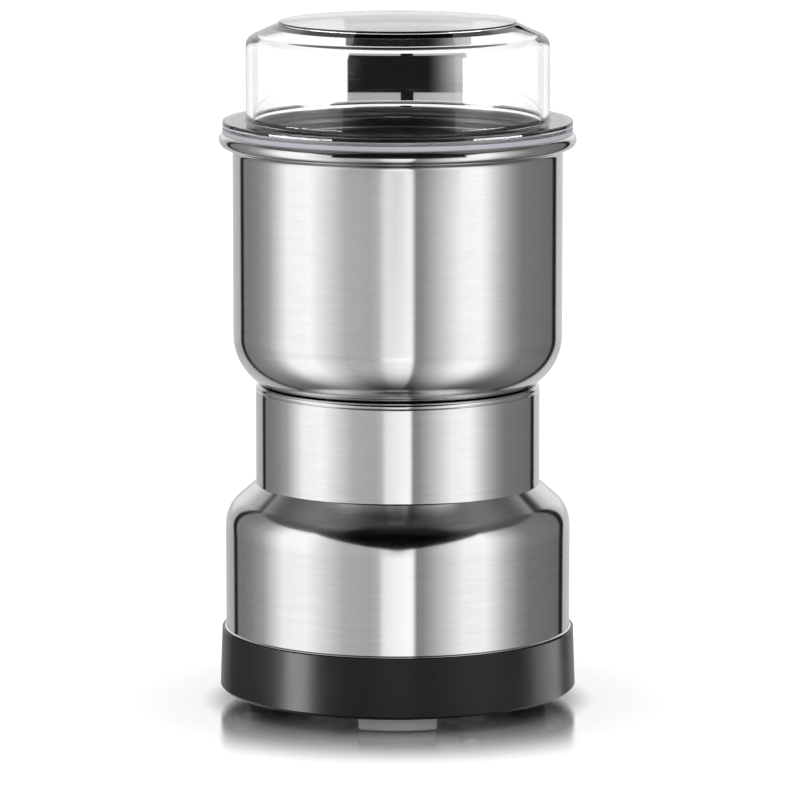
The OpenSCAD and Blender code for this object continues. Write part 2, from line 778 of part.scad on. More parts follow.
module armature_winding() {
    end_r = armature_r - 1.4;
    color([0.75, 0.4, 0.2])
    on_shaft(stack_z - winding_h, stack_h + 2 * winding_h) {
        for (z = [0, stack_h + winding_h + seat_gap]) {
            translate([0, 0, z])
                revolve(concat([[4, 0.2]], arc([end_r - 1.6, 1.8], 1.6, -90, 0, 4),
                               arc([end_r - 1.6, winding_h - 1.8], 1.6, 0, 90, 4),
                               [[4, winding_h - 0.2]]));
        }
        for (i = [0:armature_slots - 1]) {
            rotate([0, 0, i * 360 / armature_slots]) translate([armature_r - 4.2, 0, winding_h - 0.5])
                cylinder(r = 1.6, h = stack_h + 1, $fn = small_fn);
        }
    }
}

module commutator() {
    color([0.76, 0.45, 0.24])
    on_shaft(commutator_z, commutator_h + 1)
        difference() {
            union() {
                cylinder(r = commutator_r, h = commutator_h);
                translate([0, 0, commutator_h - 1.4]) cylinder(r = commutator_r + 1.2, h = 1.4);
            }
            for (i = [0:commutator_segments - 1]) {
                rotate([0, 0, i * 360 / commutator_segments])
                    translate([commutator_r - 1, -0.25, -1]) cube([4, 0.5, commutator_h + 2]);
            }
        }
}

module cooling_fan() {
    color([0.85, 0.85, 0.82])
    on_shaft(fan_z, fan_h) {
        cylinder(r = fan_r, h = 1.2);
        cylinder(r = 6, h = fan_h);
        for (i = [0:fan_vanes - 1]) {
            rotate([0, 0, i * 360 / fan_vanes])
            intersection() {
                translate([fan_r * 0.6, fan_r * 0.35, 0]) ring(fan_r * 0.55, fan_r * 0.55 + 1.1, fan_h);
                translate([5, -fan_r * 0.15, 0]) cube([fan_r - 6.5, fan_r * 0.4, fan_h]);
                cylinder(r = fan_r - 0.5, h = fan_h);
            }
        }
    }
}

module thrust_washers() {
    color([0.3, 0.3, 0.32]) {
        translate([0, 0, fan_z + fan_h + seat_gap]) ring(shaft_r + 0.1, shaft_r + 2.5, hub_z - fan_z - fan_h - 0.15);
        translate([0, 0, frame_z + frame_t + 0.1])
            ring(shaft_r + 0.1, shaft_r + 2.5, commutator_z - frame_z - frame_t - 0.2);
    }
}

// ---- Blades ----

module drive_collar() {
    color("silver")
    translate([0, 0, cup_floor_top + 6.2]) ring(shaft_r + seat_gap / 2, 5.6, collar_top - cup_floor_top - 6.3);
}

// A bar blade along X, flat in the middle and turned up at both ends, thinned to an edge
module blade(z, tip_angle, flat_half) {
    rise = (blade_r - flat_half) * tan(tip_angle);
    skin = blade_t / cos(tip_angle);
    difference() {
        intersection() {
            translate([0, 0, z]) rotate([90, 0, 0]) translate([0, 0, -blade_w])
                linear_extrude(2 * blade_w)
                polygon([[-flat_half, 0], [flat_half, 0], [blade_r, rise], [blade_r, rise + skin],
                         [flat_half, blade_t], [-flat_half, blade_t],
                         [-blade_r, rise + skin], [-blade_r, rise]]);
            translate([0, 0, z - 1]) linear_extrude(rise + blade_t + 5)
                intersection() {
                    circle(r = blade_r);
                    polygon([[-blade_r, -blade_w * 0.2], [-blade_r * 0.45, -blade_w / 2],
                             [blade_r * 0.45, -blade_w / 2], [blade_r, -blade_w * 0.32],
                             [blade_r, blade_w * 0.2], [blade_r * 0.45, blade_w / 2],
                             [-blade_r * 0.45, blade_w / 2], [-blade_r, blade_w * 0.32]]);
                }
        }
        translate([0, 0, z - 2]) cylinder(r = shaft_r + seat_gap / 2, h = 6);
        // ground bevels on the two leading edges
        for (turn = [0, 180]) {
            rotate([0, 0, turn]) translate([flat_half, 0, z]) rotate([0, -tip_angle, 0])
                translate([1, blade_w * 0.3, blade_t]) rotate([-20, 0, -6])
                    translate([0, 0, 0]) cube([blade_r, blade_w, 4]);
        }
    }
}

module lower_blade() {
    color([0.8, 0.8, 0.8]) blade(collar_top, lower_tip_angle, 12);
}

module upper_blade() {
    color([0.8, 0.8, 0.8])
    translate([0, 0, blade_t + seat_gap]) rotate([0, 0, 90]) blade(collar_top, upper_tip_angle, 10);
}

module blade_nut() {
    z0 = collar_top + 2 * blade_t + 2 * seat_gap;
    color("silver")
    translate([0, 0, z0])
    difference() {
        union() {
            cylinder(d = nut_flat / cos(30), h = 4, $fn = 6);
            translate([0, 0, 4 - eps]) revolve(concat([[0, 0]], arc([0, 0], 4.4, 0, 90, 8)));
        }
        translate([0, 0, -eps]) cylinder(r = shaft_r + seat_gap / 2, h = 5.2);
    }
}

// ---- Base ----

module base_ring() {
    top = body_z - seat_gap;
    r_low = base_r;
    r_top = foot_curl_r - 0.03;
    inner = r_low - base_wall - 0.5;
    plate_r = r_low - base_wall;
    gland_z = ring_z + base_h / 2;
    color([0.13, 0.13, 0.13])
    difference() {
        union() {
            revolve([[plate_r, ring_z], [r_low - 0.8, ring_z], [r_low, ring_z + 0.8], [r_top, top],
                     [body_r - 0.9, top], [body_r - 0.9, frame_z - 0.2], [body_r - 2.6, frame_z - 0.2],
                     [body_r - 2.6, top - 3], [inner, top - 5], [inner, plate_top + seat_gap],
                     [plate_r, plate_top + seat_gap]]);
            for (a = concat(frame_angles, plate_screw_angles)) {
                rotate([0, 0, a]) translate([boss_ring_r, -1.5, plate_top + 1])
                    cube([inner - boss_ring_r + 0.6, 3, 8]);
            }
            around(plate_screw_angles, boss_ring_r)
                translate([0, 0, plate_top + seat_gap]) cylinder(r = 4, h = 10, $fn = small_fn);
            around(frame_angles, boss_ring_r)
                translate([0, 0, plate_top + seat_gap])
                    cylinder(r = 5, h = frame_z - plate_top - 2 * seat_gap, $fn = small_fn);
        }
        around(plate_screw_angles, boss_ring_r)
            translate([0, 0, plate_top]) cylinder(r = 1.6, h = 9, $fn = small_fn);
        around(frame_angles, boss_ring_r) {
            translate([0, 0, plate_top]) cylinder(r = 3.7, h = 5, $fn = small_fn);
            translate([0, 0, plate_top]) cylinder(r = 1.9, h = 20, $fn = small_fn);
        }
        translate([0, inner - 2, gland_z]) rotate([-90, 0, 0]) cylinder(r = cord_bore_r + 1.6, h = 10);
        translate([0, r_low - 2.3, gland_z]) rotate([-90, 0, 0]) cylinder(r = cord_bore_r + 3, h = 10);
    }
}

module frame_screws() {
    color("silver")
    around(frame_angles, boss_ring_r)
        translate([0, 0, plate_top + 5 - seat_gap]) rotate([180, 0, 0])
            screw(3.4, 2.4, 1.6, frame_z + frame_t + 1 - plate_top - 5);
}

module base_plate() {
    color([0.15, 0.15, 0.15])
    translate([0, 0, plate_z])
    difference() {
        cylinder(r = base_r - base_wall - 0.2, h = plate_t);
        around(plate_screw_angles, boss_ring_r) {
            translate([0, 0, -eps]) cylinder(r = 1.9, h = plate_t + 1, $fn = small_fn);
            translate([0, 0, -eps]) cylinder(r = 3.4, h = 1.7, $fn = small_fn);
        }
        around(foot_angles, foot_ring_r)
            translate([0, 0, -eps]) cylinder(r = 2.6, h = plate_t + 1, $fn = small_fn);
        for (i = [0:17]) {
            rotate([0, 0, i * 20 + 10]) translate([12, -1.2, -1]) cube([15, 2.4, plate_t + 2]);
        }
    }
}

module base_screws() {
    color("silver")
    around(plate_screw_angles, boss_ring_r)
        translate([0, 0, plate_z + 1.65]) rotate([180, 0, 0]) screw(3.1, 1.5, 1.5, plate_t + 5);
}

module rubber_feet() {
    color([0.6, 0.6, 0.62])
    around(foot_angles, foot_ring_r)
    difference() {
        union() {
            translate([0, 0, 0]) linear_extrude(plate_z - seat_gap)
                intersection() {
                    translate([-foot_depth / 2, -foot_w / 2]) square([foot_depth, foot_w]);
                    translate([foot_depth / 2 - 25, 0]) circle(r = 25);
                    translate([25 - foot_depth / 2, 0]) circle(r = 25);
                }
            translate([0, 0, plate_z - 1]) cylinder(r = 2.5, h = plate_t + 1.1, $fn = small_fn);
            translate([0, 0, plate_top + seat_gap]) cylinder(r1 = 3.5, r2 = 2, h = 1.6, $fn = small_fn);
        }
        translate([0, 0, -eps]) cylinder(r = 3.4, h = 1.2, $fn = small_fn);
    }
}

module cord_gland() {
    gland_z = ring_z + base_h / 2;
    face_y = base_r - 0.5;
    back = base_r - 2.25;
    color([0.1, 0.1, 0.1])
    translate([0, face_y, gland_z]) rotate([90, 0, 0])
    difference() {
        union() {
            cylinder(r = cord_bore_r + 2.8, h = face_y - back);
            cylinder(r = cord_bore_r + 1.5, h = 9, $fn = small_fn);
        }
        translate([0, 0, -eps]) cylinder(r = cord_bore_r, h = 9 + 2 * eps);
    }
}

lid_shell();
lid_seal();
push_rod();
rod_spring();
switch_lever();
switch_plunger();
switch_body();
switch_bracket();
switch_screws();
bowl_shell();
grinding_bowl();
bowl_mount();
bowl_hub();
shaft_seal();
bowl_screws();
motor_housing();
upper_bracket();
top_bearing();
stator_core();
field_coils();
stator_bolts();
lower_bracket();
bottom_bearing();
brush_holders();
carbon_brushes();
brush_springs();
brush_caps();
base_ring();
frame_screws();
base_plate();
base_screws();
rubber_feet();
cord_gland();
motor_shaft();
armature_core();
armature_winding();
commutator();
cooling_fan();
thrust_washers();
drive_collar();
lower_blade();
upper_blade();
blade_nut();
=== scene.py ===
# %% [markdown]
# # An electric spice grinder in a photographer's light tent
# The grinder is a double-walled steel bowl on a stepped steel motor housing, with a black base
# ring and a clear lid that is pressed down to run the motor. The solid parts come from a packed
# CAD model. This lesson loads them, turns the visible shells into smooth meshes, and gives every
# part a finish made of nodes.

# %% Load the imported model
import math
import bmesh
import bpy
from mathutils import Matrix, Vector


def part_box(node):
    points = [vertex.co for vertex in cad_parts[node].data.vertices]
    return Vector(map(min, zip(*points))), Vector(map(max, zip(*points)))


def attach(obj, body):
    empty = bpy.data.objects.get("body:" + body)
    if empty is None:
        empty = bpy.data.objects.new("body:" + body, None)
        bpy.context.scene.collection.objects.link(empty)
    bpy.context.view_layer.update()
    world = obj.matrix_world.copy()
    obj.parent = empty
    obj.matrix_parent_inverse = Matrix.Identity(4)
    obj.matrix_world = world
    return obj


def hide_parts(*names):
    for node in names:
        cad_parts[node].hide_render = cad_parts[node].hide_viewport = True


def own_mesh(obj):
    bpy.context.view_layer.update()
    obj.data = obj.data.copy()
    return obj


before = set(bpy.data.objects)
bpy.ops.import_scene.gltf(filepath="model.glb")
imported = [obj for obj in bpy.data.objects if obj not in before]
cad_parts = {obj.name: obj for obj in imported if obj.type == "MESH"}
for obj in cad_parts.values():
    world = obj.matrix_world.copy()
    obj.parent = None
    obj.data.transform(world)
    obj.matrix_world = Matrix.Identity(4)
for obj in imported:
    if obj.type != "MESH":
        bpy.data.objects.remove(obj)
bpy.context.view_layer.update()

MM = 0.001
scene = bpy.context.scene
scene.view_settings.view_transform = "Standard"


# %% [markdown]
# ## Camera
# The product was photographed from 1.5 m away with a long lens, a little above the lid, so that
# the rims show as flat ellipses. The camera is made first: everything later is judged through it.
# A new object shows only once it is linked to the scene, so one helper does both.

# %% Camera
def add_object(name, data):
    made = bpy.data.objects.new(name, data)
    scene.collection.objects.link(made)
    return made


lens_data = bpy.data.cameras.new("product_camera")
lens_data.lens = 262.5
lens_data.sensor_width = 36.0
lens_data.clip_start = 0.1
lens_data.clip_end = 30.0
camera = add_object("product_camera", lens_data)
camera.location = (0.0006, -1.536, 0.322)
camera.rotation_euler = (math.radians(81.09), 0.0, 0.0)
scene.camera = camera
print("camera:", round(-camera.location.y, 2), "m before the axis,", lens_data.lens, "mm lens")


# %% [markdown]
# ## A few words for building node trees
# A node tree is a list of nodes and links. `place` adds one node, and fills each of its inputs
# with a number or with another node's output. `calc` is a Math node in one line. `remap` turns
# one range smoothly into another, so a row of four numbers says what happens between two limits.

# %% Node helpers
def place(tree, kind, inputs=None, **settings):
    made = tree.nodes.new(kind)
    for key, value in settings.items():
        setattr(made, key, value)
    for key, value in (inputs or {}).items():
        if isinstance(value, bpy.types.NodeSocket):
            tree.links.new(value, made.inputs[key])
        else:
            made.inputs[key].default_value = value
    return made


def calc(tree, operation, a, b=0.0):
    return place(tree, "ShaderNodeMath", {0: a, 1: b}, operation=operation).outputs[0]


def remap(tree, value, low, high, to_low=0.0, to_high=1.0):
    inputs = {"Value": value, "From Min": low, "From Max": high, "To Min": to_low, "To Max": to_high}
    return place(tree, "ShaderNodeMapRange", inputs, interpolation_type="SMOOTHSTEP").outputs[0]


def blend_values(tree, factor, a, b):
    return place(tree, "ShaderNodeMix", {0: factor, 2: a, 3: b}).outputs[0]


# %% [markdown]
# ## The light tent
# Brushed steel has almost no colour of its own: what the eye reads as steel is the room in it.
# A grinder like this is lit in a white tent with two tall soft boxes, a narrow strip beside the
# camera, and dark card between them. The world shader is that tent. Rays that reflect off the
# object look up a brightness by compass direction, and it fades towards the dark ceiling and
# towards straight down. Rays from the camera, straight through the clear lid and off the
# table's mirror see plain white, and matt parts get even light. Lamps and cards could stand round
# the object instead, but a shader is free of their noise and reads like a chart of the tent.

# %% World
# Compass direction in degrees, 0 towards the camera and positive to its right, and brightness
TENT = [(-180, 0.70), (-144, 0.60), (-142.5, 0.02), (-137, 0.02), (-135, 0.30),
        (-128, 0.29), (-115, 0.37), (-102, 0.56), (-91, 1.06), (-83, 1.46), (-64, 1.55),
        (-49, 1.08), (-36, 0.70), (-19, 0.64), (-14, 0.74), (-8, 1.16),
        (0, 1.36), (9.5, 1.42), (12.5, 0.38), (17, 0.43), (30, 0.90), (38, 1.20),
        (45, 1.46), (60, 1.55), (68, 1.20), (77, 0.76), (88, 0.44), (97, 0.30),
        (137, 0.22), (138.5, 0.02), (145.5, 0.02), (147, 0.72)]
TENT_FULL = 1.6

# The lit band's top in degrees above the horizon grows with the angle away from the camera
BAND_GROWTH, BAND_DROP, BAND_LOWEST, BAND_HIGHEST = 0.62, 6.0, -4.6, 33.0
# Rows of two angles in degrees and the value at each, or else 0 and 1: RISE is above the horizon,
# SIDE is away from the camera
BAND_EDGE_RISE = (-1.5, 2.0)
DOWN_RISE = (-84.0, -28.0, 0.02, 1.0)
ROOF_RISE = (40.0, 62.0, 0.12, 0.30)
ROOF_TOP_RISE = (52.0, 84.0)
ROOF_FLANK_SIDE, ROOF_BACK_SIDE = (30.0, 78.0), (130.0, 146.0)
ROOF_FRONT, ROOF_TOP, ROOF_BACK = 0.002, 0.055, 0.55
BACK_SIDE, BACK_RISE = (148.0, 158.0), (-1.0, 6.0)
LOW_TOP_RISE, LOW_FOOT_RISE = (-10.8, -8.2, 1.0, 0.0), (-20.0, -13.0)
STRIP_SIDE, LOW_STRIP, LOW_WALL = (10.0, 12.5), 1.22, 0.88
VEIL_RISE = (12.0, 45.0, 0.03, 1.6)

world = bpy.data.worlds.new("light_tent")
scene.world = world
world.use_nodes = True
world.cycles.sampling_method = "NONE"
tent = world.node_tree
tent.nodes.clear()
towards = place(tent, "ShaderNodeSeparateXYZ",
                {0: place(tent, "ShaderNodeTexCoord").outputs["Generated"]})
forward = calc(tent, "MULTIPLY", towards.outputs["Y"], -1.0)
compass = calc(tent, "DEGREES", calc(tent, "ARCTAN2", towards.outputs["X"], forward))
rise = calc(tent, "DEGREES", calc(tent, "ARCSINE", towards.outputs["Z"]))
side = calc(tent, "ABSOLUTE", compass)

share = place(tent, "ShaderNodeMath", {0: compass, 1: 1 / 360, 2: 0.5}, operation="MULTIPLY_ADD")
wall = place(tent, "ShaderNodeValToRGB", {0: share.outputs[0]})
stops = wall.color_ramp.elements
while len(stops) > 1:
    stops.remove(stops[-1])
for index, (angle, level) in enumerate(TENT):
    stop = stops[0] if index == 0 else stops.new(0.5 + angle / 360)
    stop.position = 0.5 + angle / 360
    stop.color = (level / TENT_FULL,) * 3 + (1.0,)
walls = calc(tent, "MULTIPLY", wall.outputs[0], TENT_FULL)

# Above the lit band is the roof: dark in front, brighter at the flanks, the back and the top
edge = calc(tent, "SUBTRACT", calc(tent, "MULTIPLY", side, BAND_GROWTH), BAND_DROP)
band_top = calc(tent, "MAXIMUM", calc(tent, "MINIMUM", edge, BAND_HIGHEST), BAND_LOWEST)
above = remap(tent, calc(tent, "SUBTRACT", rise, band_top), *BAND_EDGE_RISE)
below = remap(tent, rise, *DOWN_RISE)
roof_side = blend_values(tent, remap(tent, side, *ROOF_BACK_SIDE), remap(tent, rise, *ROOF_RISE), ROOF_BACK)
roof = blend_values(tent, remap(tent, side, *ROOF_FLANK_SIDE), ROOF_FRONT, roof_side)
roof = blend_values(tent, remap(tent, rise, *ROOF_TOP_RISE), roof, ROOF_TOP)

# The wall behind the grinder is plain white; low down the strip is brighter and the rest dimmer
behind = calc(tent, "MULTIPLY", remap(tent, side, *BACK_SIDE), remap(tent, rise, *BACK_RISE))
low = calc(tent, "MULTIPLY", remap(tent, rise, *LOW_TOP_RISE), remap(tent, rise, *LOW_FOOT_RISE))
low_level = blend_values(tent, remap(tent, side, *STRIP_SIDE), LOW_STRIP, LOW_WALL)
walls = calc(tent, "MULTIPLY", walls, blend_values(tent, low, 1.0, low_level))
wall_light = blend_values(tent, behind, calc(tent, "MULTIPLY", walls, below), 1.0)
gloss_light = blend_values(tent, above, wall_light, roof)

# Light that leaves the lid after a reflection finds the tent dim near the horizon, bright above
ray = place(tent, "ShaderNodeLightPath")
passed = ray.outputs["Is Transmission Ray"]
unreflected = calc(tent, "LESS_THAN", ray.outputs["Glossy Depth"], 0.5)
plain = calc(tent, "MAXIMUM", ray.outputs["Is Camera Ray"], calc(tent, "MULTIPLY", passed, unreflected))
plain = calc(tent, "MAXIMUM", plain, ray.outputs["Is Singular Ray"])
veil = blend_values(tent, passed, 1.0, remap(tent, rise, *VEIL_RISE))
even = blend_values(tent, ray.outputs["Is Diffuse Ray"], calc(tent, "MULTIPLY", gloss_light, veil), 1.0)
seen = blend_values(tent, plain, even, 1.0)
sky = place(tent, "ShaderNodeBackground", {"Color": seen, "Strength": 1.0})
place(tent, "ShaderNodeOutputWorld", {"Surface": sky.outputs[0]})
print("tent bands:", len(stops))


# %% [markdown]
# ## The floor
# A pale, slightly glossy table. It is white to the camera, with a painted shadow round the base
# and a short mirror image that fades away from the grinder and is painted darker near the base.
# Steel doesn't see it: below the horizon the tent's own bands go on, as they would in a table
# covered with white card. Light that was mirrored in the lid and leaves through it finds the table
# painted dark on the camera's side: a painted shade in the lid.
# A rough glossy shader would blur the mirror too, but its rays would see the tent's dark roof. So
# the mirror is sharp, its rays see plain white, and its normal is tipped a little at random.

# %% Floor
def flat_sheet(name, corners):
    mesh = bpy.data.meshes.new(name)
    mesh.from_pydata([Vector(c) * MM for c in corners], [], [tuple(range(len(corners)))])
    sheet = add_object(name, mesh)
    return sheet


def new_material(name):
    made = bpy.data.materials.new(name)
    made.use_nodes = True
    made.node_tree.nodes.clear()
    return made, made.node_tree


TABLE = 4000
SATIN, NOISE_SCALE = 0.07, 1e5
# Rows of two distances from the axis in metres and the value at each
# PAINTED_SHADOW darkens the table's own colour round the base: a painted shadow
PAINTED_SHADOW = (0.034, 0.050, 0.10, 1.0)
# The mirror's colour is painted darker near the base: painted shade in the reflection
MIRROR_PAINTED_SHADE = (0.044, 0.054, 0.45, 0.95)
MIRROR_SHARE = (0.050, 0.088, 0.88, 0.0)
GLOW = (0.048, 0.085, 0.0, 0.22)
# The same with the angle away from the camera, as the share of x in -y, for the table painted dark to light
# leaving the lid: painted shade in the lid
PAINTED_DARK_ASIDE, PAINTED_DARK_LEVEL = (0.45, 1.3, 1.0, 0.0), 0.02

floor = flat_sheet("table_top", [(x * TABLE, y * TABLE, 0) for x, y in ((-1, -1), (1, -1), (1, 1), (-1, 1))])
table_paint, tree = new_material("table_paint")
where = place(tree, "ShaderNodeTexCoord").outputs["Object"]
distance = place(tree, "ShaderNodeVectorMath", {0: where}, operation="LENGTH").outputs["Value"]
# Each sample of the mirror is tipped a little at random, which blurs it as a satin varnish does
fine = place(tree, "ShaderNodeVectorMath", {0: where, 1: (NOISE_SCALE,) * 3}, operation="MULTIPLY")
speck = place(tree, "ShaderNodeTexWhiteNoise", {"Vector": fine.outputs[0]})
tilt = place(tree, "ShaderNodeVectorMath",
             {0: speck.outputs["Color"], 1: (SATIN,) * 3, 2: (-SATIN / 2, -SATIN / 2, 1 - SATIN / 2)},
             operation="MULTIPLY_ADD")
satin = place(tree, "ShaderNodeVectorMath", {0: tilt.outputs[0]}, operation="NORMALIZE")
# The matt colour carries the painted shadow round the base
matt = place(tree, "ShaderNodeBsdfDiffuse",
             {"Color": calc(tree, "MULTIPLY", remap(tree, distance, *PAINTED_SHADOW), 0.97)})
gloss = place(tree, "ShaderNodeBsdfGlossy",
              {"Color": remap(tree, distance, *MIRROR_PAINTED_SHADE), "Roughness": 0.0,
               "Normal": satin.outputs[0]})
polished = place(tree, "ShaderNodeMixShader",
                 {0: remap(tree, distance, *MIRROR_SHARE), 1: matt.outputs[0], 2: gloss.outputs[0]})

# A faint glow lifts the table to white away from the grinder; it is left off near the base, which adds to
# the painted shadow there
path = place(tree, "ShaderNodeLightPath")
looked_at = calc(tree, "MAXIMUM", path.outputs["Is Camera Ray"], path.outputs["Is Transmission Ray"])
far = remap(tree, distance, *GLOW)
lift = place(tree, "ShaderNodeEmission", {"Strength": calc(tree, "MULTIPLY", looked_at, far)})
lit_top = place(tree, "ShaderNodeAddShader", {0: polished.outputs[0], 1: lift.outputs[0]})

# Light leaving the lid after a mirroring finds the table painted dark, darkest straight before the grinder:
# painted shade in the lid
spot = place(tree, "ShaderNodeSeparateXYZ", {0: where})
forward = calc(tree, "MAXIMUM", calc(tree, "MULTIPLY", spot.outputs[1], -1.0), 0.001)
aside = calc(tree, "DIVIDE", calc(tree, "ABSOLUTE", spot.outputs[0]), forward)
painted_lid_shade = calc(tree, "MULTIPLY", path.outputs["Is Transmission Ray"],
              calc(tree, "GREATER_THAN", path.outputs["Glossy Depth"], 0.5))
painted_lid_shade = calc(tree, "MULTIPLY", painted_lid_shade, remap(tree, aside, *PAINTED_DARK_ASIDE))
# A dark glow in place of the lit table: a painted shade seen in the lid
black = place(tree, "ShaderNodeEmission", {"Strength": PAINTED_DARK_LEVEL})
top = place(tree, "ShaderNodeMixShader", {0: painted_lid_shade, 1: lit_top.outputs[0], 2: black.outputs[0]})
place(tree, "ShaderNodeOutputMaterial", {"Surface": top.outputs[0]})
floor.data.materials.append(table_paint)
floor.visible_glossy = floor.visible_shadow = False
print("table top:", len(tree.nodes), "nodes")


# %% [markdown]
# ## Finishes shared by several parts
# Four effects come back all over the object, so each is a node group that is built once:
# *hairlines* of brushed or turned metal, *moulded grain* of plastic, *handling* (the faint greasy
# patches that change how shiny a surface is), and *specks* of dust. The nodes could be copied into
# each material, but a group keeps one copy and takes other numbers in each place.

# %% Node groups
def new_group(name, inputs, outputs):
    group = bpy.data.node_groups.new(name, "ShaderNodeTree")
    for label, kind, value in inputs:
        socket = group.interface.new_socket(label, in_out="INPUT", socket_type=kind)
        if value is not None:
            socket.default_value = value
    for label, kind in outputs:
        group.interface.new_socket(label, in_out="OUTPUT", socket_type=kind)
    return group, place(group, "NodeGroupInput").outputs


def stretched(tree, vector, along, across_x, across_y):
    scale = place(tree, "ShaderNodeCombineXYZ", {0: along, 1: across_x, 2: across_y})
    return place(tree, "ShaderNodeVectorMath", {0: vector, 1: scale.outputs[0]},
                 operation="MULTIPLY").outputs[0]


def noise(tree, vector, detail=4.0):
    return place(tree, "ShaderNodeTexNoise",
                 {"Vector": vector, "Scale": 1.0, "Detail": detail, "Roughness": 0.6}).outputs[0]


hairlines, given = new_group(
    "hairlines",
    [("Position", "NodeSocketVector", None), ("Line length", "NodeSocketFloat", 0.02),
     ("Line width", "NodeSocketFloat", 0.0002)],
    [("Fine", "NodeSocketFloat"), ("Broad", "NodeSocketFloat")])
long_way = calc(hairlines, "DIVIDE", 1.0, given["Line length"])
short_way = calc(hairlines, "DIVIDE", 1.0, given["Line width"])
fine = noise(hairlines, stretched(hairlines, given["Position"], long_way, long_way, short_way))
BROAD_STRETCH = 0.16
broad_way = calc(hairlines, "MULTIPLY", short_way, BROAD_STRETCH)
broad = noise(hairlines, stretched(hairlines, given["Position"], long_way, long_way, broad_way), 2.0)
place(hairlines, "NodeGroupOutput", {"Fine": fine, "Broad": broad})

moulded_grain, given = new_group(
    "moulded_grain", [("Position", "NodeSocketVector", None), ("Grain", "NodeSocketFloat", 0.0004)],
    [("Height", "NodeSocketFloat")])
pits = place(moulded_grain, "ShaderNodeTexVoronoi",
             {"Vector": given["Position"], "Scale": calc(moulded_grain, "DIVIDE", 1.0, given["Grain"])})
flow = place(moulded_grain, "ShaderNodeTexNoise",
             {"Vector": given["Position"], "Detail": 3.0,
              "Scale": calc(moulded_grain, "DIVIDE", 0.3, given["Grain"])})
place(moulded_grain, "NodeGroupOutput",
      {"Height": calc(moulded_grain, "MULTIPLY", pits.outputs["Distance"], flow.outputs[0])})

handling, given = new_group(
    "handling", [("Position", "NodeSocketVector", None), ("Patch", "NodeSocketFloat", 0.03)],
    [("Smear", "NodeSocketFloat")])
smear = place(handling, "ShaderNodeTexNoise",
              {"Vector": given["Position"], "Detail": 5.0, "Roughness": 0.55, "Distortion": 0.6,
               "Scale": calc(handling, "DIVIDE", 1.0, given["Patch"])})
place(handling, "NodeGroupOutput", {"Smear": remap(handling, smear.outputs[0], 0.35, 0.7)})

specks, given = new_group(
    "specks", [("Position", "NodeSocketVector", None), ("Size", "NodeSocketFloat", 0.0015)],
    [("Mask", "NodeSocketFloat")])
dots = place(specks, "ShaderNodeTexVoronoi",
             {"Vector": given["Position"], "Scale": calc(specks, "DIVIDE", 1.0, given["Size"])})
place(specks, "NodeGroupOutput", {"Mask": remap(specks, dots.outputs["Distance"], 0.05, 0.12, 1.0, 0.0)})
print("shared effects:", [group.name for group in (hairlines, moulded_grain, handling, specks)])


# %% Use a node group
def grouped(tree, group, **inputs):
    named = {key.replace("_", " "): value for key, value in inputs.items()}
    return place(tree, "ShaderNodeGroup", named, node_tree=group).outputs


def finish_surface(tree, colour, roughness, height, depth, **fixed):
    shader = place(tree, "ShaderNodeBsdfPrincipled",
                   {"Base Color": colour, "Roughness": roughness, **fixed})
    bump = place(tree, "ShaderNodeBump", {"Height": height, "Strength": 1.0, "Distance": depth})
    tree.links.new(bump.outputs[0], shader.inputs["Normal"])
    place(tree, "ShaderNodeOutputMaterial", {"Surface": shader.outputs[0]})


def tint(tree, factor, dark, light):
    return place(tree, "ShaderNodeMix", {0: factor, 6: (*dark, 1), 7: (*light, 1)},
                 data_type="RGBA").outputs[2]


def vary(tree, marks, roughness, spread):
    """A roughness that follows the marks of a noise, by `spread` of itself down and up."""
    return remap(tree, marks, 0.3, 0.7, roughness * (1 - spread), roughness * (1 + spread))


# %% [markdown]
# ## Steel
# The shells are drawn from sheet steel and brushed on a lathe, so the hairlines run round the
# axis. Fine scratches blur a reflection across themselves: lamps smear up and down, and stay sharp
# from side to side. That is an anisotropic surface. Its direction could come from the axis, but
# the UV map, whose u runs round the part, also says how far along the outline a line lies. So the
# lines don't smear on corners and flat bottoms.

# %% Steel finishes
LINE_LENGTH, LINE_DEPTH, FINE_SHARE, BROAD_SHARE = 0.011, 0.0000025, 0.6, 0.4


def brushed_steel(name, shade, roughness, line_width, anisotropy=0.95):
    made, tree = new_material(name)
    coordinates = place(tree, "ShaderNodeTexCoord")
    flat = place(tree, "ShaderNodeSeparateXYZ", {0: coordinates.outputs["Object"]})
    down = place(tree, "ShaderNodeSeparateXYZ", {0: coordinates.outputs["UV"]})
    spot = place(tree, "ShaderNodeCombineXYZ",
                 {0: flat.outputs[0], 1: flat.outputs[1], 2: down.outputs[1]}).outputs[0]
    lines = grouped(tree, hairlines, Position=spot, Line_length=LINE_LENGTH, Line_width=line_width)
    smears = grouped(tree, handling, Position=coordinates.outputs["Object"], Patch=0.035)
    mixed = calc(tree, "ADD", calc(tree, "MULTIPLY", lines["Fine"], FINE_SHARE),
                 calc(tree, "MULTIPLY", lines["Broad"], BROAD_SHARE))
    colour = tint(tree, mixed, [c * 0.84 for c in shade], [c * 1.14 for c in shade])
    rough = calc(tree, "ADD", vary(tree, mixed, roughness, 0.15),
                 calc(tree, "MULTIPLY", smears["Smear"], 0.012))
    tangent = place(tree, "ShaderNodeTangent", direction_type="UV_MAP")
    finish_surface(tree, colour, rough, mixed, LINE_DEPTH, Metallic=1.0, Anisotropic=anisotropy,
                   **{"Anisotropic Rotation": 0.25, "Tangent": tangent.outputs[0]})
    return made


SHELL_STEEL = brushed_steel("brushed_shell_steel", (0.630, 0.621, 0.620), 0.10, 0.00022)
BOWL_STEEL = brushed_steel("spun_bowl_steel", (0.64, 0.62, 0.63), 0.15, 0.00030)
print("steels:", SHELL_STEEL.name, BOWL_STEEL.name)


# %% [markdown]
# ## Plastics and rubber
# The black plastic is glossy on the base ring and its plate, and plain on the parts nobody sees.
# A moulding is never quite flat: it has a faint grain. Handling makes some patches duller. One
# flat colour would do for the shape, and look drawn: the small changes are what reads as plastic.

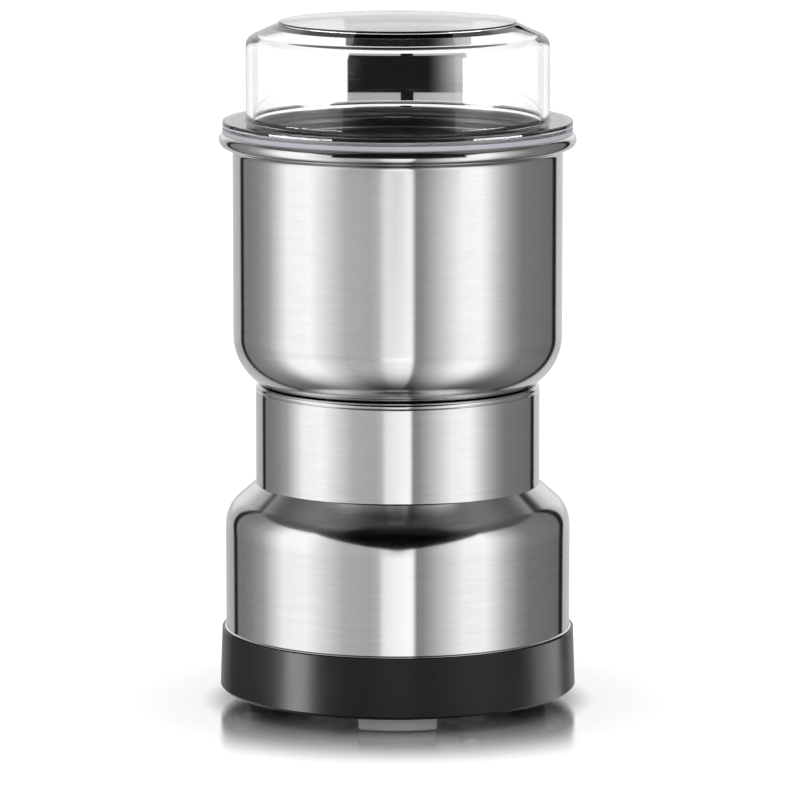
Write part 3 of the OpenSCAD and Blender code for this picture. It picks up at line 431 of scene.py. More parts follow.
# %% Plastic and rubber finishes
def moulding(name, colour, roughness, grain=0.0004, depth=0.00001, spread=0.06, **fixed):
    made, tree = new_material(name)
    spot = place(tree, "ShaderNodeTexCoord").outputs["Object"]
    grains = grouped(tree, moulded_grain, Position=spot, Grain=grain)
    smears = grouped(tree, handling, Position=spot, Patch=0.022)
    dust = grouped(tree, specks, Position=spot, Size=0.004)
    paint = tint(tree, smears["Smear"], colour, [c * 1.12 + 0.001 for c in colour])
    rough = calc(tree, "ADD", remap(tree, smears["Smear"], 0.0, 1.0, roughness, roughness + spread),
                 calc(tree, "MULTIPLY", dust["Mask"], 0.03))
    finish_surface(tree, paint, rough, grains["Height"], depth, **fixed)
    return made


BASE_BLACK = moulding("base_black_gloss", (0.012, 0.012, 0.012), 0.24, 0.0005, 0.000004,
                      **{"Specular IOR Level": 0.16})
DARK_PLASTIC = moulding("dark_plastic", (0.022, 0.022, 0.024), 0.42, 0.0003, 0.00002)
PALE_PLASTIC = moulding("pale_plastic", (0.62, 0.60, 0.52), 0.45, 0.0003, 0.00002)
RED_PLASTIC = moulding("red_plastic", (0.42, 0.03, 0.025), 0.38, 0.0003, 0.00001)
GREY_RUBBER = moulding("grey_rubber", (0.50, 0.49, 0.49), 0.55, 0.00025, 0.00004, 0.12)
DARK_RUBBER = moulding("dark_rubber", (0.018, 0.018, 0.019), 0.66, 0.00025, 0.00004, 0.12)
SOFT_SEAL = moulding("soft_seal", (0.46, 0.465, 0.51), 0.40, 0.0003, 0.00001, 0.1)
print("mouldings:", BASE_BLACK.name, DARK_PLASTIC.name, PALE_PLASTIC.name, RED_PLASTIC.name,
      GREY_RUBBER.name, DARK_RUBBER.name, SOFT_SEAL.name)


# %% [markdown]
# ## Small metal parts
# Turned, stamped and wound metal each get their own look: rings of a lathe tool on the shaft,
# a fine ground grain on the blades, thin sheets in the motor's stacks, and lacquered copper wire.
# A picture could carry such marks, but noise with one axis squeezed needs no picture and no UV map.

# %% Metal finishes
def plain_metal(name, dark, light, roughness, scale, depth=0.000008, squeeze=(1, 1, 1)):
    made, tree = new_material(name)
    spot = place(tree, "ShaderNodeTexCoord").outputs["Object"]
    stretch = stretched(tree, spot, *[s / scale for s in squeeze])
    marks = noise(tree, stretch, 5.0)
    smears = grouped(tree, handling, Position=spot, Patch=0.012)
    finish_surface(tree, tint(tree, marks, dark, light),
                   calc(tree, "ADD", vary(tree, marks, roughness, 0.2),
                        calc(tree, "MULTIPLY", smears["Smear"], 0.05)),
                   marks, depth, Metallic=1.0)
    return made


STAIN_SCALE = 300.0


def layered_metal(name, dark, light, roughness, sheet):
    """Sheets or wires that lie on each other, `sheet` metres apart."""
    made, tree = new_material(name)
    spot = place(tree, "ShaderNodeTexCoord").outputs["Object"]
    up = place(tree, "ShaderNodeSeparateXYZ", {0: spot}).outputs[2]
    layer = calc(tree, "PINGPONG", up, sheet / 2)
    groove = remap(tree, layer, sheet * 0.04, sheet * 0.2)
    marks = noise(tree, stretched(tree, spot, *[STAIN_SCALE] * 3))
    finish_surface(tree, tint(tree, calc(tree, "MULTIPLY", groove, marks), dark, light),
                   vary(tree, marks, roughness, 0.15), groove, 0.00006, Metallic=0.9)
    return made


SCREW_STEEL = plain_metal("screw_steel", (0.42, 0.42, 0.40), (0.66, 0.65, 0.62), 0.28, 0.0015)
SHAFT_STEEL = plain_metal("shaft_steel", (0.48, 0.48, 0.47), (0.70, 0.70, 0.68), 0.20, 0.0006,
                          squeeze=(0.2, 0.2, 1))
BLADE_STEEL = plain_metal("blade_steel", (0.52, 0.52, 0.51), (0.74, 0.74, 0.72), 0.17, 0.0009,
                          squeeze=(1, 1, 0.3))
SPRING_STEEL = plain_metal("spring_steel", (0.34, 0.34, 0.34), (0.58, 0.58, 0.57), 0.26, 0.0012)
STACK_STEEL = layered_metal("stack_steel", (0.08, 0.08, 0.085), (0.34, 0.34, 0.35), 0.42, 0.0005)
COPPER_WIRE = layered_metal("copper_wire", (0.16, 0.035, 0.015), (0.62, 0.22, 0.09), 0.30, 0.0007)
COPPER_BAR = plain_metal("copper_bar", (0.60, 0.26, 0.15), (0.86, 0.45, 0.30), 0.24, 0.0007,
                         squeeze=(0.2, 0.2, 1))
BRONZE = plain_metal("bearing_bronze", (0.34, 0.21, 0.10), (0.56, 0.37, 0.18), 0.40, 0.0005)
BRASS = plain_metal("brass", (0.50, 0.36, 0.13), (0.80, 0.60, 0.26), 0.26, 0.0010)
CARBON = plain_metal("brush_carbon", (0.010, 0.010, 0.011), (0.035, 0.035, 0.038), 0.55, 0.0004)
print("materials so far:", len(bpy.data.materials))


# %% [markdown]
# ## Clear lid
# The lid is moulded in clear plastic, 1.8 mm thick. A closed mesh with full transmission bends
# the light twice, as the real wall does, and its edges go dark by themselves. A trace of waviness
# and faint smears keep it from looking like air. A single sheet with a mix of clear and gloss
# would render faster, but it bends nothing.

# %% Clear plastic
WAVE_SCALE = 60.0


def clear_plastic(name):
    made, tree = new_material(name)
    spot = place(tree, "ShaderNodeTexCoord").outputs["Object"]
    smears = grouped(tree, handling, Position=spot, Patch=0.03)
    waves = noise(tree, stretched(tree, spot, *[WAVE_SCALE] * 3), 1.0)
    finish_surface(tree, (0.985, 0.99, 0.99, 1),
                   remap(tree, smears["Smear"], 0.0, 1.0, 0.012, 0.03), waves, 0.00001,
                   **{"Transmission Weight": 1.0, "IOR": 1.49})
    return made


CLEAR_LID = clear_plastic("clear_lid_plastic")
print("clear finish:", CLEAR_LID.name)


# %% [markdown]
# ## Turned shells
# All the big parts are turned or drawn round one axis, so one helper makes them: it sweeps an
# outline round the axis. The outline is written in millimetres as radius and height. The UV map
# has u round the axis and v along the outline, which the steel needs for its hairlines. Blender's
# Spin and Screw tools sweep as well; a helper that lays every face itself can give it its UV too.

# %% Lathe helper
def arc(radius_at, height_at, size, start, stop, steps=8):
    turns = [math.radians(start + (stop - start) * i / steps) for i in range(steps + 1)]
    return [(radius_at + size * math.cos(t), height_at + size * math.sin(t)) for t in turns]


def hold_flats(outline, hold=0.12, longest=1.6):
    """Add a point close to each end of a long straight run, so that smooth shading stays flat on it."""
    held = []
    for i, end in enumerate(outline):
        start = outline[i - 1]
        length = math.dist(start, end)
        if length > longest:
            for share in (hold / length, 1 - hold / length):
                held.append(tuple(a + (b - a) * share for a, b in zip(start, end)))
        held.append(end)
    return held


SAME_POINT, ON_AXIS = 1e-4, 1e-6


def lathe(name, outline, material, steps=256, crease=38.0):
    """Sweep a closed outline of (radius, height) in millimetres round the axis."""
    rows = hold_flats([p for i, p in enumerate(outline) if math.dist(p, outline[i - 1]) > SAME_POINT])
    mesh = bpy.data.meshes.new(name)
    shape = bmesh.new()
    uv = shape.loops.layers.uv.new("around")
    rings = []
    for radius, height in rows:
        if radius < ON_AXIS:
            rings.append([shape.verts.new((0, 0, height * MM))] * steps)
            continue
        turns = [2 * math.pi * i / steps + math.pi / 2 for i in range(steps)]
        rings.append([shape.verts.new((radius * MM * math.cos(t), radius * MM * math.sin(t), height * MM))
                      for t in turns])
    along = [0.0]
    for i in range(1, len(rows) + 1):
        along.append(along[-1] + math.dist(rows[i - 1], rows[i % len(rows)]) * MM)
    for i in range(len(rows)):
        low, high = rings[i], rings[(i + 1) % len(rows)]
        for k in range(steps):
            m = (k + 1) % steps
            corners = [(low[k], k, i), (low[m], k + 1, i), (high[m], k + 1, i + 1), (high[k], k, i + 1)]
            kept = [c for n, c in enumerate(corners) if c[0] not in [d[0] for d in corners[:n]]]
            if len(kept) < 3:
                continue
            face = shape.faces.new([c[0] for c in kept])
            for loop, (_, u, v) in zip(face.loops, kept):
                loop[uv].uv = (u / steps, along[v])
    bmesh.ops.recalc_face_normals(shape, faces=shape.faces)
    shape.to_mesh(mesh)
    shape.free()
    mesh.shade_smooth()
    mesh.set_sharp_from_angle(angle=math.radians(crease))
    mesh.materials.append(material)
    print(name, len(mesh.polygons), "faces")
    return add_object(name, mesh)


def stands_for(piece, body, slot, *nodes):
    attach(piece, body)
    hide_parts(*nodes)


# %% [markdown]
# Holes and slots are cut from a finished shell with a Boolean modifier, and a leg or a stud is
# joined on with one. The tools are a few plain blocks and rods in one throwaway mesh, and the
# result is kept as a plain mesh. Faces could be cut by hand instead; this way an outline stays
# simple, and a hole is where its numbers say.

# %% Cutting and joining helpers
def block(shape, low, high):
    made = bmesh.ops.create_cube(shape, size=1.0)["verts"]
    size = [(b - a) * MM for a, b in zip(low, high)]
    centre = [(a + b) / 2 * MM for a, b in zip(low, high)]
    bmesh.ops.scale(shape, vec=size, verts=made)
    bmesh.ops.translate(shape, vec=centre, verts=made)


def rod(shape, x, y, low, high, radius):
    made = bmesh.ops.create_cone(shape, cap_ends=True, segments=32, radius1=radius * MM,
                                 radius2=radius * MM, depth=(high - low) * MM)["verts"]
    bmesh.ops.translate(shape, vec=(x * MM, y * MM, (low + high) / 2 * MM), verts=made)


def keep_result(piece):
    """Make what the piece's modifiers give its own plain mesh, and take them off."""
    graph = bpy.context.evaluated_depsgraph_get()
    result = bpy.data.meshes.new_from_object(piece.evaluated_get(graph), depsgraph=graph)
    piece.modifiers.clear()
    piece.data = result


def boolean(piece, operation, fill):
    mesh = bpy.data.meshes.new("cutter")
    shape = bmesh.new()
    fill(shape)
    shape.to_mesh(mesh)
    shape.free()
    cutter = add_object("cutter", mesh)
    change = piece.modifiers.new("change", "BOOLEAN")
    change.operation, change.solver, change.object = operation, "EXACT", cutter
    keep_result(piece)
    bpy.data.objects.remove(cutter)
    return piece


SCREW_RING, SCREW_ANGLES, SCREW_HOLE = 22, (30, 150, 270), 2.3


def screw_holes(low, high):
    def fill(shape):
        for turn in map(math.radians, SCREW_ANGLES):
            rod(shape, SCREW_RING * math.cos(turn), SCREW_RING * math.sin(turn), low, high, SCREW_HOLE)
    return fill


# %% [markdown]
# ## Outer bowl
# A deep-drawn cup with a rolled rim. The rolled rim is a full bead that hides the cut edge of the
# sheet, and the bottom corner is a wide radius in which the strip and the walls run together. The
# outline goes up the outside and back down the inside, so the sheet has a real thickness.

# %% Outer bowl
SHEET = 0.6
BEAD, BEAD_SIZE = (45.35, 151.2), 2
BOWL_WALL, BOWL_FLOOR, BOWL_CORNER = 43.75, 84.1, 15
BOWL_CENTRE = (BOWL_WALL - BOWL_CORNER, BOWL_FLOOR + BOWL_CORNER)
bowl_outline = (
    [(15, BOWL_FLOOR)] + arc(*BOWL_CENTRE, BOWL_CORNER, -90, 0, 28) + [(BOWL_WALL, 120), (BOWL_WALL, 147.6)]
    + arc(45.15, 147.7, 1.4, 180, 112, 6) + arc(*BEAD, BEAD_SIZE, -82, 180, 26)
    + [(BOWL_WALL - SHEET, 149.2), (BOWL_WALL - SHEET, 120)]
    + arc(*BOWL_CENTRE, BOWL_CORNER - SHEET, 0, -90, 28) + [(15, BOWL_FLOOR + SHEET)])
outer_bowl = lathe("outer_bowl", bowl_outline, SHELL_STEEL)


def bowl_cuts(shape):
    screw_holes(83, 86)(shape)
    block(shape, (-2.6, 33.7, 83), (2.6, 35.9, 88.1))


boolean(outer_bowl, "DIFFERENCE", bowl_cuts)
stands_for(outer_bowl, "housing", "brushed_shell", "bowl_shell")


# %% [markdown]
# ## Grinding bowl
# The inner cup that holds the spice. It hangs from the rim on a turned lip, and a notch at the
# back lets the lid's leg reach the rod between the two walls. It could be the inner side of the
# outer bowl, but it is a cup of its own, spun from duller steel.

# %% Grinding bowl
CUP_WALL, CUP_FLOOR, CUP_CORNER = 40.1, 96.0, 10
CUP_CENTRE = (CUP_WALL - CUP_CORNER, CUP_FLOOR + CUP_CORNER)
cup_outline = (
    [(8, CUP_FLOOR - SHEET)] + arc(*CUP_CENTRE, CUP_CORNER + SHEET, -90, 0, 20) + [(CUP_WALL + SHEET, 120)]
    + arc(41.3, 151.7, SHEET, 180, 90, 6) + [(43.76, 152.3), (43.98, 152.9)]
    + arc(41.3, 151.7, 2 * SHEET, 90, 180, 10) + [(CUP_WALL, 120)] + arc(*CUP_CENTRE, CUP_CORNER, 0, -90, 20)
    + [(8, CUP_FLOOR)])
grinding_cup = lathe("grinding_cup", cup_outline, BOWL_STEEL, 224)


def cup_cuts(shape):
    screw_holes(95, 97)(shape)
    block(shape, (-4, 41.0, 149.9), (4, 42.7, 153.9))


boolean(grinding_cup, "DIFFERENCE", cup_cuts)
stands_for(grinding_cup, "housing", "brushed_bowl", "grinding_bowl")


# %% [markdown]
# ## Motor housing
# One more drawn shell: a wide drum, a round shoulder, a straight neck, and a lip that turns in
# under the bowl. Its foot is curled outwards so that it sits on the black ring. The drum eases
# into the shoulder with a wide arc, so that its reflections bend and don't break off there. One
# function draws both sides of the sheet, which saves a Solidify modifier.

# %% Motor housing
DRUM, NECK = 45.9, 37.8
SHOULDER_SIZE, SHOULDER_SLOPE, SHOULDER_FOOT = 9, 40.8, 49.2
EASE_SIZE, EASE_TURN = 40, 3.2
FOOT_CURL = [(46.3, 20.2), (46.35, 20.28), (46.35, 20.5), (46.25, 20.62), (46.0, 20.7), (DRUM, 20.8),
             (DRUM, 22.0)]
NECK_LIP = [(NECK, 84.25), (37.72, 84.38), (37.55, 84.48), (37.52, 84.56), (37.6, 84.72), (37.68, 84.95),
            (37.69, 85.15), (37.62, 85.4), (37.48, 85.62), (37.28, 85.8), (37.03, 85.9)]


def housing_side(inset):
    """The outline from the foot to the lip, set in by `inset` for the sheet's inner side."""
    turn = 90 - SHOULDER_SLOPE
    axis, size = DRUM - SHOULDER_SIZE, SHOULDER_SIZE - inset
    foot = SHOULDER_FOOT - 2 * math.tan(math.radians(turn / 2))
    more, ease = EASE_SIZE - SHOULDER_SIZE, math.radians(EASE_TURN)
    end = (axis + size * math.cos(math.radians(turn)), foot + size * math.sin(math.radians(turn)))
    neck = NECK - inset
    neck_foot = end[1] + (end[0] - neck) * math.tan(math.radians(SHOULDER_SLOPE))
    return ([(radius - inset, height) for radius, height in FOOT_CURL]
            + arc(axis - more * math.cos(ease), foot - more * math.sin(ease), size + more, 0.0, EASE_TURN, 6)
            + arc(axis, foot, size, EASE_TURN, turn, 20)
            + [(neck + 0.12, neck_foot - 0.1), (neck, neck_foot + 0.1)]
            + [(radius - inset, height) for radius, height in NECK_LIP])


housing_outline = housing_side(0) + housing_side(SHEET)[::-1]
motor_shell = lathe("motor_shell", housing_outline, SHELL_STEEL)
stands_for(motor_shell, "housing", "brushed_shell", "motor_housing")


# %% [markdown]
# ## Copies round the axis
# Screws and feet repeat round the grinder's axis, three at a time. One is modelled at the origin,
# and a small Geometry Nodes tree puts the copies on the corners of a circle and turns each to face
# outwards. Its inputs are the count, the ring's radius, its height, the first angle and the finish.
# An Array modifier could do it too; a tree names what it needs, and serves screws and feet alike.

# %% Geometry Nodes helpers
def geometry_tree(name, inputs):
    tree = bpy.data.node_groups.new(name, "GeometryNodeTree")
    tree.interface.new_socket("Geometry", in_out="OUTPUT", socket_type="NodeSocketGeometry")
    for label, kind in inputs:
        tree.interface.new_socket(label, in_out="INPUT", socket_type="NodeSocket" + kind)
    return tree, tree.nodes.new("NodeGroupInput").outputs


def close_tree(tree, shape, finish):
    solid = place(tree, "GeometryNodeRealizeInstances", {"Geometry": shape})
    dressed = place(tree, "GeometryNodeSetMaterial", {"Geometry": solid.outputs[0], "Material": finish})
    tree.links.new(dressed.outputs[0], tree.nodes.new("NodeGroupOutput").inputs[0])
    return tree


# %% Ring of copies
def ring_tree():
    tree, given = geometry_tree("copies_round_axis", (
        ("One Copy", "Geometry"), ("Count", "Int"), ("Ring Radius", "Float"), ("Height", "Float"),
        ("First Angle", "Float"), ("Finish", "Material")))
    circle = place(tree, "GeometryNodeMeshCircle",
                   {"Vertices": given["Count"], "Radius": given["Ring Radius"]})
    lifted = place(tree, "ShaderNodeCombineXYZ", {2: given["Height"]}).outputs[0]
    first = place(tree, "ShaderNodeCombineXYZ", {2: given["First Angle"]}).outputs[0]
    points = place(tree, "GeometryNodeTransform",
                   {"Geometry": circle.outputs[0], "Translation": lifted, "Rotation": first})
    step = calc(tree, "DIVIDE", 2 * math.pi, given["Count"])
    index = place(tree, "GeometryNodeInputIndex").outputs[0]
    turn = calc(tree, "ADD", calc(tree, "MULTIPLY", index, step), given["First Angle"])
    facing = place(tree, "ShaderNodeCombineXYZ", {2: turn}).outputs[0]
    copies = place(tree, "GeometryNodeInstanceOnPoints",
                   {"Points": points.outputs[0], "Instance": given["One Copy"], "Rotation": facing})
    return close_tree(tree, copies.outputs[0], given["Finish"])


RING_TREE = ring_tree()


def apply_nodes(piece, tree, given):
    """Run a Geometry Nodes tree on a piece and keep the result as its plain mesh."""
    change = piece.modifiers.new("nodes", "NODES")
    change.node_group = tree
    for socket in tree.interface.items_tree:
        if socket.in_out == "INPUT" and socket.name in given:
            change[socket.identifier] = given[socket.name]
    keep_result(piece)
    print(piece.name, len(piece.data.polygons), "faces")


def ring_of(piece, finish, radius, height, first, count=3):
    """Turn one copy at the origin into `count` copies round the axis; millimetres and degrees."""
    apply_nodes(piece, RING_TREE, {
        "Count": count, "Ring Radius": radius * MM, "Height": height * MM,
        "First Angle": math.radians(first), "Finish": finish})


# %% [markdown]
# The screws are pan heads with a cross recess: a domed top, a crisp rim and a plain shank. The
# bowl's three stand in its floor, head up. The base plate's three sit in counterbores, head down.
# The lathe turns them, and two crossed blocks cut the recess, so it is real and not painted on.

# %% Screws
RIM, TIP, CROWN = 0.12, 0.3, 0.45
DOME_ANGLES = (12, 26, 42, 58, 74)
CROSS_REACH, CROSS_HALF, CLEAR = 0.55, 0.38, 9


def pan_screw(name, head, tall, shank, length, up=1):
    """A screw at the origin with its head's flat side at height 0; `up` is -1 for head down."""
    side = [(head - RIM, 0.0), (head, RIM), (head, tall * CROWN)]
    dome = [(head * math.cos(t), tall * (CROWN + (1 - CROWN) * math.sin(t)))
            for t in map(math.radians, DOME_ANGLES)]
    outline = [(0, -length), (shank - TIP, -length), (shank, -length + TIP), (shank, 0.0)]
    outline += side + dome + [(0, tall)]
    made = lathe(name, [(r, up * z) for r, z in outline], SCREW_STEEL, 32, 30)
    reach, low, high = head * CROSS_REACH, *sorted((up * tall * CROWN, up * CLEAR))

    def cross(shape):
        for wide_x, wide_y in ((reach, CROSS_HALF), (CROSS_HALF, reach)):
            block(shape, (-wide_x, -wide_y, low), (wide_x, wide_y, high))

    return boolean(made, "DIFFERENCE", cross)


def ring_radius(node, reach):
    """The ring's radius from the CAD node's box, where one copy lies on an axis of the box."""
    low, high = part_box(node)
    return max(abs(low[0]), abs(low[1]), abs(high[0]), abs(high[1])) / MM - reach


BOWL_HEAD, BOWL_TALL, BOWL_SHANK = 4.0, 2.6, 2.0
low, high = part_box("bowl_screws")
head_plane = high[2] / MM - BOWL_TALL
bowl_screws = pan_screw("bowl_screw_ring", BOWL_HEAD, BOWL_TALL, BOWL_SHANK, head_plane - low[2] / MM)
ring_of(bowl_screws, SCREW_STEEL, SCREW_RING, head_plane, SCREW_ANGLES[0])
stands_for(bowl_screws, "housing", "screw_steel", "bowl_screws")

BASE_HEAD, BASE_TALL, BASE_SHANK = 3.1, 1.5, 1.5
low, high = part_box("base_screws")
base_screws = pan_screw("base_screw_ring", BASE_HEAD, BASE_TALL, BASE_SHANK,
                        high[2] / MM - low[2] / MM - BASE_TALL, up=-1)
ring_of(base_screws, SCREW_STEEL, ring_radius("base_screws", BASE_HEAD), low[2] / MM + BASE_TALL, first=60)
stands_for(base_screws, "housing", "screw_steel", "base_screws")


# %% [markdown]
# ## Rubber feet
# Three soft blocks with bulging sides and rounded edges. The front one shows below the black ring.
# Each has a stud that snaps through the base plate and a round dimple underneath. A cube with a
# Bevel modifier would have flat sides, so two arcs are drawn, raised and then bevelled.

# %% Feet
FOOT_DEPTH, FOOT_ROUND = 12.0, 0.7
DIMPLE_DEPTH, DIMPLE_RADIUS = 1.19, 3.4
STUD_LOW, STUD_HIGH, STUD_RADIUS = 3.6, 8.2, 2.5


def foot(name, depth=FOOT_DEPTH, width=20.6, bulge=25.0, tall=4.55, steps=16):
    mesh = bpy.data.meshes.new(name)
    shape = bmesh.new()
    across = [width * (i / steps - 0.5) for i in range(steps + 1)]
    near_side = [(depth / 2 - bulge + math.sqrt(bulge * bulge - y * y), y) for y in across]
    outline = near_side + [(-x, -y) for x, y in near_side]
    below = shape.faces.new([shape.verts.new((x * MM, y * MM, 0)) for x, y in outline])
    raised = bmesh.ops.extrude_face_region(shape, geom=[below])["geom"]
    bmesh.ops.translate(shape, vec=(0, 0, tall * MM),
                        verts=[v for v in raised if isinstance(v, bmesh.types.BMVert)])
    bmesh.ops.recalc_face_normals(shape, faces=shape.faces)
    shape.to_mesh(mesh)
    shape.free()
    mesh.materials.append(GREY_RUBBER)
    made = add_object(name, mesh)
    soft = made.modifiers.new("soft_edges", "BEVEL")
    soft.width, soft.segments = FOOT_ROUND * MM, 4
    soft.limit_method, soft.angle_limit = "ANGLE", math.radians(40)
    boolean(made, "DIFFERENCE", lambda shape: rod(shape, 0, 0, -1, DIMPLE_DEPTH, DIMPLE_RADIUS))
    boolean(made, "UNION", lambda shape: rod(shape, 0, 0, STUD_LOW, STUD_HIGH, STUD_RADIUS))
    made.data.shade_smooth()
    made.data.set_sharp_from_angle(angle=math.radians(35))
    return made


rubber_feet = foot("rubber_foot_ring")
ring_of(rubber_feet, GREY_RUBBER, ring_radius("rubber_feet", FOOT_DEPTH / 2), height=0, first=-90)
stands_for(rubber_feet, "housing", "grey_rubber", "rubber_feet")


# %% [markdown]
# ## Lid
# The lid is a lathe shape too: a flat disc raised on a sloping shoulder, a straight wall, a rim
# flange that covers most of the bowl's rolled rim, and a skirt inside the bowl. The leg at the back
# presses the rod. Lid and leg are joined into one closed solid so that light passes cleanly: two
# solids that only overlap would show a wall where they meet.

# %% Lid
LID_WALL, LID_THICK, LID_ROUND, LID_SLOPE = 40.2, 1.8, 3, 24.4
DISC_EDGE, SHOULDER_TOP, LID_INNER_TOP, LID_TOP = 31.8, 181.8, 180.4, 182.5
FLANGE_LOW, FLANGE_EDGE, FLANGE_ROUND = 154.2, 46.1, 0.3


def lid_side(inset, top):
    """The rounded corner over the wall and the slope up to `top`; `inset` gives the inner side."""
    slope, turn = math.radians(LID_SLOPE), math.radians(90 - LID_SLOPE)
    flat = LID_WALL - LID_ROUND * (1 - math.cos(turn)) - DISC_EDGE
    round_top = SHOULDER_TOP - flat * math.tan(slope)
    centre = (LID_WALL - LID_ROUND - inset, round_top - LID_ROUND * math.sin(turn))
    corner = arc(*centre, LID_ROUND, 0, 90 - LID_SLOPE, 14)
    last = corner[-1]
    return corner + [(last[0] - (top - last[1]) / math.tan(slope), top)]


lid_outline = (
    [(39.75, 150.2), (39.9, 150.35), (39.9, FLANGE_LOW), (44.45, FLANGE_LOW), (44.45, 155.2), (45.65, 155.2),
     (45.65, FLANGE_LOW), (FLANGE_EDGE, FLANGE_LOW)] + arc(FLANGE_EDGE, 154.5, FLANGE_ROUND, -90, 0, 4)
    + arc(FLANGE_EDGE, 156.0, FLANGE_ROUND, 0, 90, 4)
    + [(41.0, 156.3), (40.5, 156.45), (40.25, 156.8), (LID_WALL, 157.3)]
    + lid_side(0, SHOULDER_TOP) + [(31.5, SHOULDER_TOP)] + arc(31.25, 182.25, 0.25, 0, 90, 5)
    + [(0, LID_TOP), (0, LID_INNER_TOP)] + lid_side(LID_THICK, LID_INNER_TOP)[::-1]
    + [(LID_WALL - LID_THICK, FLANGE_LOW), (LID_WALL - LID_THICK, 150.2)])
lid_dome = lathe("lid_dome", lid_outline, CLEAR_LID)
boolean(lid_dome, "UNION", lambda shape: block(shape, (-3.5, 41.15, 148.05), (3.5, 42.55, 154.6)))
stands_for(lid_dome, "lid", "clear_lid", "lid_shell")


# %% [markdown]
# ## Lid seal
# A soft ring clamped under the lid's flange. It follows the bowl's rolled rim from above. On the
# grinder it gives way when the lid is pressed; this ring keeps its shape.

# %% Seal
SEAL_GAP, PRESS = 0.05, 0.8
seal_outline = (
    [(43.05, 153.15), (43.1, 153.0)] + arc(*BEAD, BEAD_SIZE + SEAL_GAP, 117, 60, 14)
    + [(46.4, 153.1), (46.4, FLANGE_LOW), (45.65, FLANGE_LOW), (45.65, 155.0), (45.5, 155.15),
       (44.6, 155.15), (44.45, 155.0), (44.45, FLANGE_LOW), (43.05, FLANGE_LOW)])
soft_ring = lathe("soft_ring", seal_outline, SOFT_SEAL)
stands_for(soft_ring, "lid", "soft_seal", "lid_seal")
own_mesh(soft_ring)


# %% [markdown]
# ## Rod spring
# The coil spring that lifts the push rod and the lid again. A Geometry Nodes spiral gives its
# path and a round wire section is swept along it. A Screw modifier makes a coil too, but the
# tree keeps turns, length and wire as named sizes.

# %% Coil spring
def spring_tree():
    tree, given = geometry_tree("coil_spring", (
        ("Coil Radius", "Float"), ("Length", "Float"), ("Turns", "Float"), ("Wire Radius", "Float"),
        ("Place", "Vector"), ("Finish", "Material")))
    path = place(tree, "GeometryNodeCurveSpiral",
                 {"Resolution": 40, "Rotations": given["Turns"], "Start Radius": given["Coil Radius"],
                  "End Radius": given["Coil Radius"], "Height": given["Length"]})
    wire = place(tree, "GeometryNodeCurvePrimitiveCircle",
                 {"Resolution": 14, "Radius": given["Wire Radius"]})
    swept = place(tree, "GeometryNodeCurveToMesh",
                  {"Curve": path.outputs[0], "Profile Curve": wire.outputs[0], "Fill Caps": True})
    moved = place(tree, "GeometryNodeTransform",
                  {"Geometry": swept.outputs[0], "Translation": given["Place"]})
    return close_tree(tree, moved.outputs[0], given["Finish"])


low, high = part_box("rod_spring")
WIRE = 0.35 * MM
rod_coil = add_object("rod_coil", bpy.data.meshes.new("rod_coil"))
apply_nodes(rod_coil, spring_tree(), {
    "Coil Radius": (high[0] - low[0]) / 2 - WIRE, "Length": high[2] - low[2] - 2 * WIRE, "Turns": 6.0,
    "Wire Radius": WIRE, "Finish": SPRING_STEEL,
    "Place": ((low[0] + high[0]) / 2, (low[1] + high[1]) / 2, low[2] + WIRE)})
rod_coil.data.shade_smooth()
stands_for(rod_coil, "housing", "spring_steel", "rod_spring")
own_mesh(rod_coil)


# %% [markdown]
# ## Cards and soft boxes for the clear lid
# Clear plastic shows what stands behind it and mirrors what stands before it. The photographer put
# a black card on a post behind the lid, so that the lid reads as a clear wall and not as a hole,
# with a grey one under it and a banner high above, which darkens the sloping shoulder. A black
# strip hangs before the lid, and a low soft box on each side lightens the two ends of its wall.
# Only refracted or mirrored rays see the cards. Each lamp is linked to the part that it is meant
# for, so the steel keeps the calm bands of the tent.

# %% Cards
def card(name, corners, paint, ray_kinds):
    """A flat card that only the named kinds of ray see."""
    made = flat_sheet(name, corners)
    made.data.materials.append(paint)
    for kind in ("camera", "diffuse", "glossy", "transmission", "volume_scatter", "shadow"):
        setattr(made, "visible_" + kind, kind in ray_kinds.split())


def upright(y, left, right, low, high):
    return [(left, y, low), (right, y, low), (right, y, high), (left, y, high)]


def card_paint(name, dark, light, starts, ends):
    """A glow that goes from `dark` to `light` between two places on x, in millimetres."""
    made, tree = new_material(name)
    across = place(tree, "ShaderNodeSeparateXYZ", {0: place(tree, "ShaderNodeTexCoord").outputs["Object"]})
    glow = place(tree, "ShaderNodeEmission",
                 {"Strength": remap(tree, across.outputs[0], starts * MM, ends * MM, dark, light)})
    place(tree, "ShaderNodeOutputMaterial", {"Surface": glow.outputs[0]})
    return made


BEHIND, BEFORE = 150, -120
CARD_LEFT, CARD_RIGHT, CARD_TOP, CARD_FOOT = -16.4, 23.2, 166.5, 148.1
POST_LEFT, POST_RIGHT, POST_FOOT = 0.9, 5.0, 143.0
card("card_behind", [(x, BEHIND, z) for x, z in (
    (CARD_LEFT, CARD_TOP), (CARD_LEFT, CARD_FOOT), (POST_LEFT, CARD_FOOT), (POST_LEFT, POST_FOOT),
    (POST_RIGHT, POST_FOOT), (POST_RIGHT, CARD_FOOT), (CARD_RIGHT, CARD_FOOT), (CARD_RIGHT, CARD_TOP))],
    card_paint("black_card", 0.010, 0.55, 9.0, 25.0), "transmission")
card("card_below", upright(BEHIND + 1, CARD_LEFT, CARD_RIGHT, 143.4, 148.4),
     card_paint("grey_card", 0.46, 0.60, 3.0, 19.0), "transmission")
card("card_above", upright(BEHIND, -51, 61, 206, 520),
     card_paint("black_banner", 0.01, 0.02, -60, 60), "glossy transmission")
card("card_before", upright(BEFORE, -88, 94, 144, 215),
     card_paint("black_strip", 0.01, 0.02, -80, 80), "glossy")


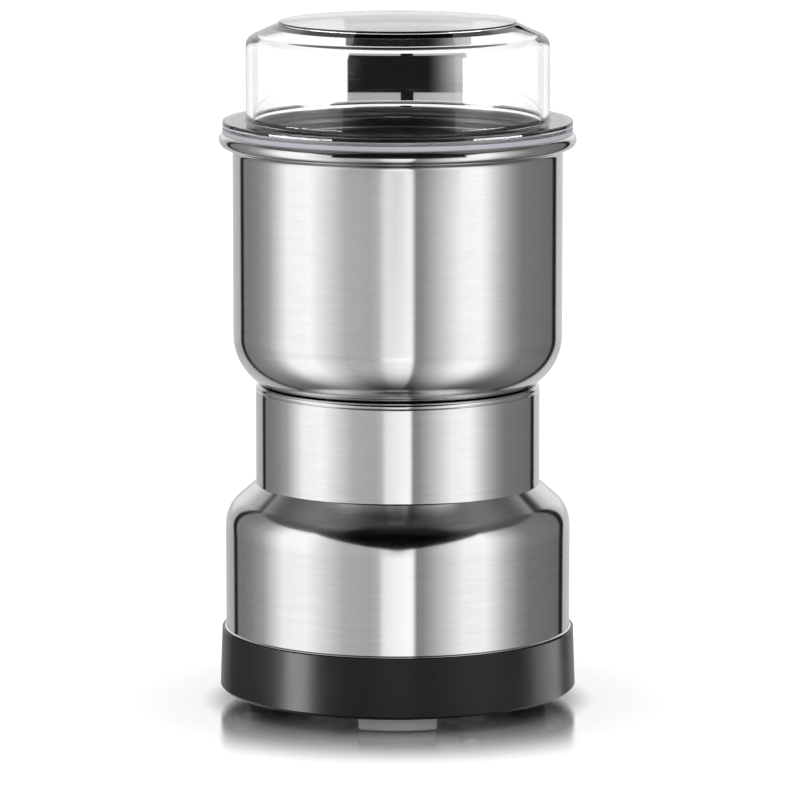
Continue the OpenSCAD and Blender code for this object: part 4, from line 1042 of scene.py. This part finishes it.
# %% Soft boxes
LAMP_DISTANCE, LEVEL_ENERGY = 0.6, 4
SIDE_BOX_HEIGHT, SIDE_BOX_TALL, SIDE_BOX_LEVEL = 0.134, 0.063, 16


def soft_box(name, compass, height, width, tall, level, lit):
    """A lamp that stands at a compass angle, faces the axis and lights only the piece `lit`."""
    lamp = bpy.data.lights.new(name, "AREA")
    lamp.shape = "RECTANGLE"
    lamp.size, lamp.size_y = width, tall
    lamp.energy = LEVEL_ENERGY * width * tall * level
    made = add_object(name, lamp)
    turn = math.radians(compass)
    made.location = (LAMP_DISTANCE * math.sin(turn), -LAMP_DISTANCE * math.cos(turn), height)
    made.rotation_euler = (math.radians(90), 0, turn)
    made.visible_camera = made.visible_transmission = made.visible_diffuse = False
    group = bpy.data.collections.new(name + "_lights")
    group.objects.link(lit)
    made.light_linking.receiver_collection = group


for name, first, last in (("left_box", -90, -39), ("right_box", 48.5, 86)):
    width = 2 * LAMP_DISTANCE * math.tan(math.radians((last - first) / 2))
    soft_box(name, (first + last) / 2, SIDE_BOX_HEIGHT, width, SIDE_BOX_TALL, SIDE_BOX_LEVEL, lid_dome)
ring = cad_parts["base_ring"]
soft_box("ring_box_left", -66, height=-0.10, width=0.20, tall=0.30, level=14.0, lit=ring)
soft_box("ring_box_right", 111, height=-0.10, width=0.34, tall=0.30, level=3.0, lit=ring)
print("lamps:", [lamp.name for lamp in bpy.data.lights])


# %% [markdown]
# ## Finishes for the CAD parts
# The other solids keep their CAD mesh, because it already has their shape or nobody sees them. A
# table pairs each with its finish.

# %% Dress the CAD parts
FINISHES = {
    BASE_BLACK: ["base_ring", "base_plate"],
    DARK_PLASTIC: ["push_rod", "switch_body", "bowl_mount", "upper_bracket", "lower_bracket",
                   "bowl_hub", "brush_caps", "thrust_washers"],
    PALE_PLASTIC: ["switch_bracket", "cooling_fan"],
    RED_PLASTIC: ["switch_plunger"],
    DARK_RUBBER: ["cord_gland", "shaft_seal"],
    SCREW_STEEL: ["switch_screws", "stator_bolts", "frame_screws"],
    SHAFT_STEEL: ["motor_shaft", "drive_collar", "blade_nut"],
    BLADE_STEEL: ["lower_blade", "upper_blade"],
    SPRING_STEEL: ["brush_springs", "switch_lever"],
    STACK_STEEL: ["stator_core", "armature_core"],
    COPPER_WIRE: ["field_coils", "armature_winding"],
    COPPER_BAR: ["commutator"],
    BRONZE: ["top_bearing", "bottom_bearing"],
    BRASS: ["brush_holders"],
    CARBON: ["carbon_brushes"],
}
for finish, names in FINISHES.items():
    for name in names:
        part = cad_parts[name]
        part.data.materials.clear()
        part.data.materials.append(finish)
undressed = sorted(set(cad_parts) - {n for names in FINISHES.values() for n in names})
print("nodes with their own new mesh:", undressed)
